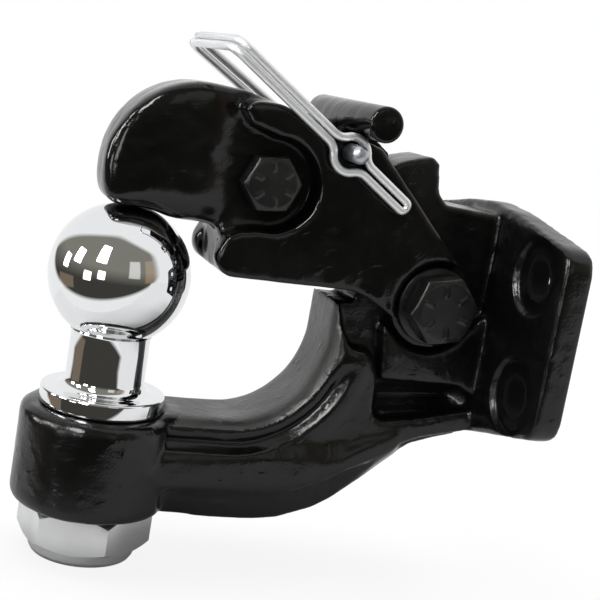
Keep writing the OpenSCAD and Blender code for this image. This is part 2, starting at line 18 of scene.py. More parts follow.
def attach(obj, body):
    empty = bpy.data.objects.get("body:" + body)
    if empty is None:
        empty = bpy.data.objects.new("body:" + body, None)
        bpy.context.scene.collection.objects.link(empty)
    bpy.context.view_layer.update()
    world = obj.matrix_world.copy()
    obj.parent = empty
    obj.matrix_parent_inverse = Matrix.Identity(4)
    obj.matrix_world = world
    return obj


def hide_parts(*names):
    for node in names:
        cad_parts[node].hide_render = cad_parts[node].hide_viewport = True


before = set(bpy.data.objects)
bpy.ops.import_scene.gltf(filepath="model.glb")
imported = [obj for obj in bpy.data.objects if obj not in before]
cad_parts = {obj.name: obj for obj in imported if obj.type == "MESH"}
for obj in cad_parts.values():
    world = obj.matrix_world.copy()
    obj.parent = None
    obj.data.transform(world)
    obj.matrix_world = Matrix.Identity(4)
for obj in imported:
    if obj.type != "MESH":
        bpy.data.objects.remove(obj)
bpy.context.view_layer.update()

LOG = logging.getLogger("pintle_hook")
MM = 0.001
FULL_TURN = 2.0 * math.pi

Point = tuple[float, float, float]
Pair = tuple[float, float]
Stops = tuple[Pair, ...]
Rgb = tuple[float, float, float]
Weight = Callable[[Vector], float]
Piece = bpy.types.Object
Socket = bpy.types.NodeSocket


class Body(Enum):
    """CAD bodies that pieces ride on."""

    FIXED = "body"
    JAW = "jaw"
    LOCK = "lock"
    PIN = "pin"


class Slot(Enum):
    """Material slots of the record."""

    PAINT = "black_paint"
    CHROME = "chrome"
    ZINC = "zinc"
    STEEL = "black_steel"
    BRONZE = "bronze"
    NYLON = "nylon"


class Axis(Enum):
    """Direction that a turned piece is turned about."""

    Y = (0.0, 1.0, 0.0)
    Z = (0.0, 0.0, 1.0)


def metres(point: Sequence[float]) -> Vector:
    """Gives a place in metres from one in millimetres."""
    return Vector(point) * MM


def along(start: Pair, distance: float, degrees: float) -> Pair:
    """Gives the place at a distance and a direction in degrees from a start."""
    a = math.radians(degrees)
    return start[0] + distance * math.cos(a), start[1] + distance * math.sin(a)


def arc(centre: Pair, radius: float, start: float, end: float, steps: int) -> list[Pair]:
    """Draws an arc from one direction in degrees to another, with both ends."""
    return [along(centre, radius, start + (end - start) * i / steps) for i in range(steps + 1)]


def heading(turn: float, rise: float) -> Vector:
    """Gives the direction from the object for a turn round it and a rise above the horizon, in degrees."""
    a, e = math.radians(turn), math.radians(rise)
    return Vector((math.sin(a) * math.cos(e), -math.cos(a) * math.cos(e), math.sin(e)))


def everywhere(_: Vector) -> float:
    """Weighs all places alike."""
    return 1.0


def ramp(value: float, *stops: Pair) -> float:
    """Reads a line of straight runs between stops.

    Args:
        value: Where to read it.
        *stops: Place and height of each stop, in order.

    Returns:
        The height there, level beyond the ends.
    """
    for (a, low), (b, high) in zip(stops, stops[1:]):
        if value < b:
            return low + (high - low) * max(value - a, 0.0) / (b - a)
    return stops[-1][1]


class Graph:
    """Small builder for the nodes of one material or world."""

    def __init__(self, tree: bpy.types.NodeTree) -> None:
        """Empties a node tree to build in."""
        self.tree = tree
        tree.nodes.clear()

    def node(self, kind: str, inputs: dict[str | int, object] | None = None, **values: object) -> bpy.types.Node:
        """Adds a node, and sets its inputs and properties.

        Args:
            kind: Blender's name of the node type.
            inputs: Value of each input, or the socket that is linked to it.
            **values: Properties of the node.

        Returns:
            The new node.
        """
        made = self.tree.nodes.new(kind)
        for name, value in values.items():
            setattr(made, name, value)
        self.feed(made, inputs or {})
        return made

    def feed(self, target: bpy.types.Node, inputs: dict[str | int, object]) -> None:
        """Sets or links inputs of a node.

        Args:
            target: Node to feed.
            inputs: Value of each input, or the socket that is linked to it.
        """
        for name, value in inputs.items():
            if isinstance(value, Socket):
                self.tree.links.new(value, target.inputs[name])
            else:
                target.inputs[name].default_value = value

    def math(self, kind: str, *terms: object) -> Socket:
        """Adds a math node for numbers or sockets and gives its result."""
        return self.node("ShaderNodeMath", dict(enumerate(terms)), operation=kind).outputs[0]

    def noise(self, scale: float, detail: float, place: Socket) -> Socket:
        """Adds a noise texture with a scale in cells to the metre and gives its value."""
        return self.node("ShaderNodeTexNoise", {"Scale": scale, "Detail": detail, "Vector": place}).outputs[0]

    def hollow(self, distance: float) -> Socket:
        """Gives the share of a place that is open within a distance in metres."""
        return self.node("ShaderNodeAmbientOcclusion", {"Distance": distance}, samples=8).outputs["AO"]

    def spread(self, value: Socket, low: float, high: float, to: Pair) -> Socket:
        """Maps a value from the range between low and high to another range."""
        ends = {"From Min": low, "From Max": high, "To Min": to[0], "To Max": to[1]}
        return self.node("ShaderNodeMapRange", {"Value": value, **ends}).outputs[0]

    def blend(self, share: Socket, first: object, second: object) -> Socket:
        """Mixes two colours, or sockets that give them, by the share of the second."""
        low, high = ((*c, 1.0) if isinstance(c, tuple) else c for c in (first, second))
        return self.node("ShaderNodeMix", {0: share, 6: low, 7: high}, data_type="RGBA").outputs[2]


@dataclass(frozen=True)
class Finish(ABC):
    """Surface finish that makes its own procedural material.

    Attributes:
        name: Name of the material.
        colour: Main colour.
        second: Colour that the main one drifts towards.
        roughness: Lowest and highest roughness.
    """

    name: str
    colour: Rgb
    second: Rgb
    roughness: Pair

    @abstractmethod
    def dress(self, graph: Graph, shader: bpy.types.Node, place: Socket) -> None:
        """Adds what this finish has beyond colour and gloss."""

    def material(self) -> bpy.types.Material:
        """Makes the material, or gives the one made before.

        Returns:
            The finished material.
        """
        known = bpy.data.materials.get(self.name)
        if known is not None:
            return known
        made = bpy.data.materials.new(self.name)
        made.use_nodes = True
        graph = Graph(made.node_tree)
        place = graph.node("ShaderNodeTexCoord").outputs["Object"]
        drift = graph.noise(45.0, 3.0, place)
        colour = graph.blend(graph.spread(drift, 0.35, 0.7, (0.0, 1.0)), self.colour, self.second)
        rough = graph.spread(drift, 0.3, 0.7, self.roughness)
        shader = graph.node("ShaderNodeBsdfPrincipled", {"Base Color": colour, "Roughness": rough})
        graph.node("ShaderNodeOutputMaterial", {"Surface": shader.outputs[0]})
        self.dress(graph, shader, place)
        return made

    @staticmethod
    def relief(
        graph: Graph,
        shader: bpy.types.Node,
        layers: Sequence[tuple[Socket, float, float]],
    ) -> None:
        """Stacks bump layers onto the shader's normal.

        Args:
            graph: Graph of the material.
            shader: Shader to bump.
            layers: Height, strength and depth in metres of each layer.
        """
        below: dict[str | int, object] = {}
        for height, strength, depth in layers:
            bump = graph.node("ShaderNodeBump", {"Strength": strength, "Distance": depth, "Height": height, **below})
            below = {"Normal": bump.outputs[0]}
        graph.feed(shader, below)


@dataclass(frozen=True)
class CastEnamel(Finish):
    """Thick gloss enamel over a rough casting skin.

    Attributes:
        lump: Depth of the soft lumps, in metres.
        grit: Depth of the fine grit, in metres.
        gloss: Level of its mirror light.
    """

    lump: float = 0.0006
    grit: float = 0.00008
    gloss: float = 0.36

    def dress(self, graph: Graph, shader: bpy.types.Node, place: Socket) -> None:
        """Adds the lumps, the sand grit, and painted shade: a gloss turned down in hollows and creases.

        Args:
            graph: Graph of the material.
            shader: Shader to dress.
            place: Coordinates to read noise at.
        """
        # Painted shade: ambient occlusion turns the mirror light down to 15% in hollows, creases and joints.
        gloss = graph.spread(graph.hollow(0.014), 0.3, 0.75, (self.gloss * 0.15, self.gloss))
        graph.feed(shader, {"Specular IOR Level": gloss})
        lumps = graph.noise(130.0, 1.0, place)
        waves = graph.noise(55.0, 0.0, place)
        grit = graph.noise(900.0, 2.0, place)
        specks = graph.spread(graph.noise(260.0, 0.0, place), 0.68, 0.8, (0.0, 1.0))
        self.relief(
            graph,
            shader,
            [(waves, 0.5, self.lump), (lumps, 0.5, self.lump), (grit, 0.4, self.grit), (specks, 0.3, self.grit * 1.5)],
        )


@dataclass(frozen=True)
class Plated(Finish):
    """Bright plated metal.

    Attributes:
        ripple: Depth of the surface ripple, in metres.
        grain: Ripple cells to the metre.
    """

    ripple: float = 0.00002
    grain: float = 300.0

    def dress(self, graph: Graph, shader: bpy.types.Node, place: Socket) -> None:
        """Makes it metal, with a fine ripple."""
        graph.feed(shader, {"Metallic": 1.0})
        self.relief(graph, shader, [(graph.noise(self.grain, 2.0, place), 0.4, self.ripple)])


@dataclass(frozen=True)
class Moulded(Finish):
    """Plain moulded plastic."""

    def dress(self, graph: Graph, shader: bpy.types.Node, place: Socket) -> None:
        """Adds a fine moulded grain."""
        self.relief(graph, shader, [(graph.noise(1500.0, 1.0, place), 0.3, 0.00003)])


FINISHES: dict[Slot, Finish] = {
    Slot.PAINT: CastEnamel("black_paint_skin", (0.0035, 0.0036, 0.0034), (0.006, 0.006, 0.0056), (0.08, 0.17)),
    Slot.STEEL: CastEnamel("black_steel_skin", (0.012, 0.012, 0.012), (0.017, 0.017, 0.0165), (0.2, 0.3),
                           lump=0.0002, grit=0.00005),
    Slot.CHROME: Plated("chrome_skin", (0.83, 0.84, 0.85), (0.8, 0.81, 0.82), (0.02, 0.035),
                        ripple=0.000004, grain=90.0),
    Slot.ZINC: Plated("zinc_skin", (0.72, 0.725, 0.725), (0.62, 0.625, 0.63), (0.28, 0.42),
                      ripple=0.00005, grain=500.0),
    Slot.BRONZE: Plated("bronze_skin", (0.55, 0.36, 0.15), (0.45, 0.29, 0.12), (0.25, 0.38),
                        ripple=0.00002, grain=900.0),
    Slot.NYLON: Moulded("nylon_skin", (0.8, 0.8, 0.76), (0.72, 0.72, 0.68), (0.4, 0.5)),
}
ROUGH_CAST = CastEnamel("rough_cast_skin", (0.0034, 0.0036, 0.0034), (0.006, 0.0061, 0.0057), (0.14, 0.3),
                        lump=0.0007, grit=0.0002)
# Bolt holes: a rough, dull bore finish with painted shade; its darker colour and low mirror light stand in for the
# shade inside the holes.
DULL_SHADED_BORE = CastEnamel("bolt_hole_shade_skin", (0.003, 0.003, 0.003), (0.004, 0.004, 0.004), (0.8, 0.9),
                       lump=0.0002, grit=0.0001, gloss=0.1)
FLAT_FACE = CastEnamel("mount_face_skin", (0.0036, 0.0036, 0.0034), (0.006, 0.006, 0.0056), (0.16, 0.24),
                       lump=0.00008, grit=0.00008)
# Saddle: rougher, gritty worn paint plus a painted sheen; its lighter colour and full mirror light stand in for the
# light it reflects.
WORN_SADDLE_PAINTED_SHEEN = CastEnamel("saddle_wear_and_sheen_skin", (0.014, 0.0143, 0.0136), (0.03, 0.03, 0.0285), (0.32, 0.5),
                         lump=0.0006, grit=0.0006, gloss=1.0)
# Nut: a lighter copy of the zinc finish, painted light that makes up for the light its round end lacks.
NUT_PAINTED_LIGHT = Plated("nut_painted_light_skin", (0.76, 0.765, 0.765), (0.66, 0.665, 0.67), (0.28, 0.42), ripple=0.00005, grain=500.0)
DULL_PIN = Plated("pin_skin", (0.5, 0.52, 0.55), (0.4, 0.42, 0.44), (0.34, 0.46), ripple=0.00002, grain=700.0)
BRIGHT_WIRE = Plated("bright_wire_skin", (0.87, 0.88, 0.89), (0.8, 0.815, 0.83), (0.4, 0.5),
                     ripple=0.00002, grain=700.0)


class Bench:
    """Bench tools that each work on one piece."""

    @staticmethod
    def pick(piece: Piece) -> None:
        """Makes one piece the only selected and the active one.

        Args:
            piece: Piece to work on.
        """
        if bpy.context.object is not None and bpy.context.object.mode != "OBJECT":
            bpy.ops.object.mode_set(mode="OBJECT")
        bpy.ops.object.select_all(action="DESELECT")
        piece.select_set(True)
        bpy.context.view_layer.objects.active = piece

    @staticmethod
    def named(name: str) -> Piece:
        """Names the object that an operator has just added and bakes its transform into it.

        Args:
            name: Name of the object and its data.

        Returns:
            The object.
        """
        piece = bpy.context.object
        piece.name = name
        piece.data.name = name
        bpy.ops.object.transform_apply(location=True, rotation=True, scale=True)
        return piece

    @staticmethod
    def merge(piece: Piece, outward: bool = True) -> None:
        """Merges doubled points and, if asked, turns all faces outward.

        Args:
            piece: Piece to close.
            outward: Whether normals are made again.
        """
        Bench.pick(piece)
        bpy.ops.object.mode_set(mode="EDIT")
        bpy.ops.mesh.select_all(action="SELECT")
        bpy.ops.mesh.remove_doubles(threshold=1e-6)
        if outward:
            bpy.ops.mesh.normals_make_consistent(inside=False)
        bpy.ops.object.mode_set(mode="OBJECT")

    @staticmethod
    def copy_node(node: str, name: str) -> Piece:
        """Copies a CAD node's mesh into a new piece and closes it.

        Args:
            node: CAD node to copy.
            name: Name of the new piece.

        Returns:
            The new piece.
        """
        piece = bpy.data.objects.new(name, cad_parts[node].data.copy())
        piece.data.name = name
        piece.data.materials.clear()
        bpy.context.scene.collection.objects.link(piece)
        Bench.pick(piece)
        bpy.ops.mesh.customdata_custom_splitnormals_clear()
        Bench.merge(piece, outward=False)
        return piece

    @staticmethod
    def apply(piece: Piece, kind: str, **values: object) -> None:
        """Adds a modifier, sets it, applies it and clears the weights that it used.

        Args:
            piece: Piece to change.
            kind: Blender's name of the modifier type.
            **values: Settings of the modifier.
        """
        Bench.pick(piece)
        made = piece.modifiers.new(kind.lower(), kind)
        for name, value in values.items():
            setattr(made, name, value)
        bpy.ops.object.modifier_apply(modifier=made.name)
        piece.vertex_groups.clear()

    @staticmethod
    def skin(piece: Piece, voxel: float, rounds: int) -> None:
        """Recasts a piece as one closed skin of small cells and smooths it for some rounds."""
        Bench.apply(piece, "REMESH", mode="VOXEL", voxel_size=voxel * MM, adaptivity=0.0)
        Bench.apply(piece, "SMOOTH", factor=0.5, iterations=rounds)

    @staticmethod
    def weigh(piece: Piece, inside: Weight) -> str:
        """Weighs the points of a piece in a vertex group.

        Args:
            piece: Piece to weigh.
            inside: Weight from 0 to 1 of a place in millimetres.

        Returns:
            Name of the group.
        """
        group = piece.vertex_groups.new(name="weights")
        for v in piece.data.vertices:
            weight = inside(v.co / MM)
            if weight > 0.0:
                group.add([v.index], min(weight, 1.0), "REPLACE")
        return group.name

    @staticmethod
    def soften(piece: Piece, inside: Weight, rounds: int) -> None:
        """Smooths part of a piece for some rounds more than the rest."""
        Bench.apply(piece, "SMOOTH", factor=0.5, iterations=rounds, vertex_group=Bench.weigh(piece, inside))

    @staticmethod
    def sink(piece: Piece, inside: Weight, depth: float) -> None:
        """Sinks part of a piece below its skin, by a depth where the weight is 1."""
        Bench.apply(piece, "DISPLACE", strength=-depth * MM, mid_level=0.0, vertex_group=Bench.weigh(piece, inside))

    @staticmethod
    def lumps(piece: Piece, size: float, depth: float, inside: Weight) -> None:
        """Makes a skin uneven, as a sand mould leaves it.

        Args:
            piece: Piece to change.
            size: Size of the lumps, in millimetres.
            depth: Depth of the lumps, in millimetres.
            inside: Weight from 0 to 1 of a place in millimetres.
        """
        cloud = bpy.data.textures.new("mould_sand", "CLOUDS")
        cloud.noise_scale = size * MM
        cloud.noise_depth = 1
        Bench.apply(piece, "DISPLACE", texture=cloud, texture_coords="LOCAL", strength=depth * MM, mid_level=0.5,
                    vertex_group=Bench.weigh(piece, inside))
        bpy.data.textures.remove(cloud)

    @staticmethod
    def smooth(piece: Piece, degrees: float = 180.0) -> None:
        """Shades a piece smooth across edges below an angle."""
        Bench.pick(piece)
        bpy.ops.object.shade_smooth_by_angle(angle=math.radians(degrees))

    @staticmethod
    def turn(name: str, place: Point, axis: Axis, outline: Sequence[Pair], steps: int = 72) -> Piece:
        """Turns an outline round an axis.

        Args:
            name: Name of the new piece.
            place: Point on the axis, in millimetres.
            axis: Direction of the axis.
            outline: Radius and distance along the axis of each corner, in order.
            steps: Facets to the turn.

        Returns:
            The closed piece.
        """
        spot, line, side = metres(place), Vector(axis.value), Vector((1.0, 0.0, 0.0))
        path = [spot + (side * r + line * h) * MM for r, h in outline]
        bpy.ops.mesh.primitive_plane_add(size=MM, location=path[0])
        piece = Bench.named(name)
        bpy.ops.object.mode_set(mode="EDIT")
        bpy.ops.mesh.select_all(action="SELECT")
        bpy.ops.mesh.merge(type="CENTER")
        for before, after in zip(path, path[1:]):
            bpy.ops.mesh.extrude_region_move(TRANSFORM_OT_translate={"value": after - before})
        bpy.ops.mesh.select_all(action="SELECT")
        bpy.ops.mesh.spin(steps=steps, angle=FULL_TURN, center=spot, axis=line)
        bpy.ops.object.mode_set(mode="OBJECT")
        Bench.merge(piece)
        return piece

    @staticmethod
    def hex_prism(name: str, place: Point, axis: Axis, flats: float, height: float, turn: float) -> Piece:
        """Adds a hex prism that starts at a place and runs along an axis.

        Args:
            name: Name of the new piece.
            place: Centre of its first face, in millimetres.
            axis: Direction that it runs in.
            flats: Width across the flats.
            height: Length along the axis.
            turn: Angle of its first corner, in degrees.

        Returns:
            The prism.
        """
        theta = math.radians(turn - 30.0)
        angles = (math.pi / 2, -theta, 0.0) if axis is Axis.Y else (0.0, 0.0, theta)
        centre = metres(place) + Vector(axis.value) * height / 2 * MM
        bpy.ops.mesh.primitive_cylinder_add(
            vertices=6, radius=flats / math.sqrt(3.0) * MM, depth=height * MM, location=centre, rotation=angles
        )
        return Bench.named(name)

    @staticmethod
    def block(name: str, middle: Point, size: Point, turn: float = 0.0) -> Piece:
        """Adds a block.

        Args:
            name: Name of the new piece.
            middle: Its centre, in millimetres.
            size: Its lengths in x, y and z.
            turn: Turn about y, in degrees.

        Returns:
            The block.
        """
        angles = (0.0, math.radians(turn), 0.0)
        bpy.ops.mesh.primitive_cube_add(size=1.0, location=metres(middle), rotation=angles, scale=metres(size))
        return Bench.named(name)

    @staticmethod
    def carve(piece: Piece, tool: Piece, how: str) -> None:
        """Joins a piece with a tool solid by a Boolean operation, which uses the tool up."""
        Bench.apply(piece, "BOOLEAN", object=tool, operation=how, solver="EXACT")
        bpy.data.objects.remove(tool)

    @staticmethod
    def lathe(
        piece: Piece, how: str, place: Point, axis: Axis, outline: Sequence[Pair], steps: int = 96
    ) -> None:
        """Joins a piece with a turned solid by a Boolean operation."""
        Bench.carve(piece, Bench.turn("tool", place, axis, outline, steps), how)

    @staticmethod
    def place(
        piece: Piece, body: Body, slot: Slot, *nodes: str, finish: Finish | None = None
    ) -> None:
        """Dresses a finished piece and sets it in the frame.

        Args:
            piece: Finished piece.
            body: Body that it rides on.
            slot: Slot that it belongs to.
            *nodes: CAD nodes that it stands for.
            finish: Finish of its own, if the slot's plain one does not suit it.
        """
        piece.data.materials.clear()
        piece.data.materials.append((finish or FINISHES[slot]).material())
        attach(piece, body.value)
        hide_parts(*nodes)
        LOG.info("%s: %d faces on %s", piece.name, len(piece.data.polygons), body.value)

    @staticmethod
    def keep(node: str, slot: Slot) -> None:
        """Gives a CAD node that stays in view its finish.

        Args:
            node: CAD node.
            slot: Slot that it belongs to.
        """
        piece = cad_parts[node]
        piece.data.materials.clear()
        piece.data.materials.append(FINISHES[slot].material())
        LOG.info("%s kept from the frame", node)


@dataclass
class CastBody:
    """Body casting: plate, lug, horn, post, arm and boss.

    Attributes:
        voxel: Cell size of the skin.
        rounds: Rounds of smoothing, clear of the bolt holes.
        arm_rounds: Further rounds on the arm, post and heel.
        arm_x: Place in x and share of these rounds, from front to rear.
        arm_z: Height and share of these rounds.
        arm_half: Half width within which they lie.
        ridge: Place in x and z of each bend of the arm's ridge.
        keel: Place in x and z of each bend of the belly's keel.
        rim_rounds: Further rounds on the plate's rim.
        rim_form: Distance from the flats and share of these rounds.
        web: Half width and half height of the plate's middle, which they leave alone.
        joint: Place in x and z where the arm runs into the heel.
        joint_rounds: Further rounds there.
        joint_form: Distance from there and share of these rounds.
        hole: Distance of the bolt holes from the middle, across and up.
        hole_r: Radius of the bolt holes.
        hole_rim: Distance from a hole's wall and share of the smoothing there.
        bore_shade_rim: Width of the dull rim round a hole.
        face_r: Radius of the flats round the holes.
        plate_t: Thickness of the plate.
        plate_x: Place in x that the plate's faces and rims do not pass.
        side_y: Distance from the middle beyond which the sides lie.
        throat: Centre of the throat in x and z.
        cove_r: Distance of the cove below the saddle's rim from that centre.
        cove: Depth of that cove.
        cove_form: Distance from its middle and share of its depth.
        cove_end: Depth below the throat's centre and share of its depth.
        cove_x: Place in x where it starts.
        hollow: Depth of the hollow below the arm's ridge.
        hollow_form: Place between ridge and keel, from 0 to 1, and share of its depth.
        hollow_ends: Place in x and share of its depth.
        hollow_y: Distance from the middle beyond which it lies.
        pocket: Depth of the round hollow in the pocket below the lug's pad.
        pocket_z: Place in x and height of its middle.
        pocket_half: Place in x and half its height.
        pocket_form: Place from its middle to its rim, from 0 to 1, and share of its depth.
        pocket_ends: Place in x and share of its depth.
        pocket_y: Distances from the middle that its floor lies between.
        face_form: Distance from the mounting face and share of the lumps.
        face_x: Place in x behind which that face lies.
        worn_sheen_r: Distance from the throat's centre up to which the saddle is worn and has a painted sheen.
        worn_sheen_x: Place in x of its rear end.
        boss: Place in x of the boss's axis, and its radius.
        lump: Size and depth of the lumps in its skin.
    """

    voxel: float = 0.9
    rounds: int = 9
    arm_rounds: int = 16
    arm_x: Stops = ((-124.0, 0.0), (-116.0, 1.0), (-22.0, 1.0), (-14.0, 0.0))
    arm_z: Stops = ((-8.0, 1.0), (-2.0, 0.0))
    arm_half: float = 27.0
    ridge: Stops = ((-92.0, -71.4), (-80.0, -70.2), (-70.0, -66.4), (-40.0, -52.0))
    keel: Stops = ((-92.0, -87.0), (-68.0, -81.7), (-42.0, -61.8))
    rim_rounds: int = 16
    rim_form: Stops = ((0.0, 0.0), (2.5, 1.0))
    web: Pair = (50.0, 27.0)
    joint: Pair = (-70.5, -56.5)
    joint_rounds: int = 80
    joint_form: Stops = ((8.0, 1.0), (12.0, 0.0))
    hole: Pair = (42.85, 22.225)
    hole_r: float = 6.55
    hole_rim: Stops = ((0.8, 0.0), (3.8, 1.0))
    # bore_shade_rim: Width of the dull rim round a hole, which also gets painted shade.
    bore_shade_rim: float = 2.0
    face_r: float = 14.5
    plate_t: float = 11.0
    plate_x: float = -13.5
    side_y: float = 15.0
    throat: Pair = (-107.0, -13.5)
    cove_r: float = 41.5
    cove: float = 3.2
    cove_form: Stops = ((-4.5, 0.0), (-0.5, 1.0), (0.5, 1.0), (4.0, 0.0))
    cove_end: Stops = ((8.0, 0.0), (18.0, 1.0))
    cove_x: float = -130.0
    hollow: float = 3.6
    hollow_form: Stops = ((0.05, 0.0), (0.28, 1.0), (0.5, 0.8), (0.95, 0.0))
    hollow_ends: Stops = ((-130.0, 0.0), (-122.0, 1.0), (-62.0, 1.0), (-48.0, 0.0))
    hollow_y: float = 7.0
    pocket: float = 4.0
    pocket_z: Stops = ((-50.0, -35.0), (-11.0, -32.0))
    pocket_half: Stops = ((-50.0, 6.5), (-11.0, 4.5))
    pocket_form: Stops = ((0.1, 1.0), (0.95, 0.0))
    pocket_ends: Stops = ((-52.0, 0.0), (-47.0, 1.0), (-18.0, 1.0), (-13.0, 0.0))
    pocket_y: Pair = (9.0, 14.0)
    face_form: Stops = ((0.5, 0.0), (3.0, 1.0))
    face_x: float = -0.8
    worn_sheen_r: float = 37.0
    worn_sheen_x: float = -60.0
    boss: Pair = (-151.5, 29.0)
    lump: Pair = (9.0, 0.35)

    def from_hole(self, p: Vector) -> float:
        """Gives the distance of a place from the nearest bolt hole's axis."""
        return math.hypot(abs(p.y) - self.hole[0], abs(p.z) - self.hole[1])

    def off_holes(self, p: Vector) -> float:
        """Weighs all but the rims of the bolt holes, which stay crisp."""
        return 1.0 if p.x < self.plate_x else ramp(self.from_hole(p) - self.hole_r, *self.hole_rim)

    def on_arm(self, p: Vector) -> float:
        """Weighs the arm, belly, post and heel, which have the roundest edges."""
        weight = min(ramp(p.x, *self.arm_x), ramp(p.z, *self.arm_z))
        return weight if abs(p.y) <= self.arm_half else 0.0

    def on_joint(self, p: Vector) -> float:
        """Weighs the sides where the arm runs into the heel."""
        weight = ramp(math.hypot(p.x - self.joint[0], p.z - self.joint[1]), *self.joint_form)
        return weight if abs(p.y) >= self.side_y else 0.0

    def on_rim(self, p: Vector) -> float:
        """Weighs the plate's rim, clear of the flats round its holes."""
        inner = p.x < self.plate_x or (abs(p.y) < self.web[0] and abs(p.z) < self.web[1])
        return 0.0 if inner else ramp(self.from_hole(p) - self.face_r, *self.rim_form)

    def from_throat(self, p: Vector) -> float:
        """Gives the distance of a place from the throat's centre, or from its height along the arm."""
        return math.hypot(max(p.x - self.throat[0], 0.0), p.z - self.throat[1])

    def in_cove(self, p: Vector) -> float:
        """Weighs the cove that runs below the saddle's rim, along the arm and up the post."""
        weight = ramp(self.from_throat(p) - self.cove_r, *self.cove_form) * ramp(self.throat[1] - p.z, *self.cove_end)
        return weight if abs(p.y) >= self.side_y and p.x >= self.cove_x else 0.0

    def in_hollow(self, p: Vector) -> float:
        """Weighs the hollow below the ridge, along the arm's belly.

        Args:
            p: Place in millimetres.

        Returns:
            Weight from 0 to 1.
        """
        ridge, keel = ramp(p.x, *self.ridge), ramp(p.x, *self.keel)
        weight = ramp((ridge - p.z) / (ridge - keel), *self.hollow_form) * ramp(p.x, *self.hollow_ends)
        return weight if abs(p.y) > self.hollow_y else 0.0

    def in_pocket(self, p: Vector) -> float:
        """Weighs the floor of the pocket between the lug's pad and the heel.

        Args:
            p: Place in millimetres.

        Returns:
            Weight from 0 to 1.
        """
        aside = abs(p.z - ramp(p.x, *self.pocket_z)) / ramp(p.x, *self.pocket_half)
        weight = ramp(aside, *self.pocket_form) * ramp(p.x, *self.pocket_ends)
        return weight if self.pocket_y[0] < abs(p.y) < self.pocket_y[1] else 0.0

    def on_saddle(self, p: Vector) -> bool:
        """Tells whether a place lies on the saddle, from the boss to the top of the post."""
        along_it = self.boss[0] < p.x < self.worn_sheen_x and p.z <= 0.0 and self.from_throat(p) <= self.worn_sheen_r
        return along_it and math.hypot(p.x - self.boss[0], p.y) > self.boss[1]

    def off_face(self, p: Vector) -> float:
        """Weighs all but the mounting face, which is machined flat."""
        return ramp(-p.x, *self.face_form)

    def dress_faces(self, piece: Piece) -> None:
        """Gives the bolt holes a dull finish with painted shade, the mounting face a flat one and the saddle a worn
        one with a painted sheen.

        Args:
            piece: Body casting.
        """
        for finish in (DULL_SHADED_BORE, FLAT_FACE, WORN_SADDLE_PAINTED_SHEEN):
            piece.data.materials.append(finish.material())
        for face in piece.data.polygons:
            middle = face.center / MM
            # Faces in and round the bolt holes get the dull finish with painted shade.
            if middle.x > -self.plate_t and self.from_hole(middle) < self.hole_r + self.bore_shade_rim:
                face.material_index = 1
            elif middle.x > self.face_x and face.normal.x > 0.9:
                face.material_index = 2
            # Saddle faces get the worn finish with its painted sheen.
            elif self.on_saddle(middle):
                face.material_index = 3

    def build(self) -> None:
        """Casts the body and sets it in the frame."""
        piece = Bench.copy_node("body_casting", "cast_body")
        Bench.skin(piece, self.voxel, 1)
        Bench.soften(piece, self.off_holes, self.rounds)
        Bench.soften(piece, self.on_arm, self.arm_rounds)
        Bench.soften(piece, self.on_joint, self.joint_rounds)
        Bench.soften(piece, self.on_rim, self.rim_rounds)
        Bench.sink(piece, self.in_cove, self.cove)
        Bench.sink(piece, self.in_hollow, self.hollow)
        Bench.sink(piece, self.in_pocket, self.pocket)
        Bench.lumps(piece, *self.lump, self.off_face)
        Bench.smooth(piece)
        Bench.place(piece, Body.FIXED, Slot.PAINT, "body_casting", finish=ROUGH_CAST)
        self.dress_faces(piece)


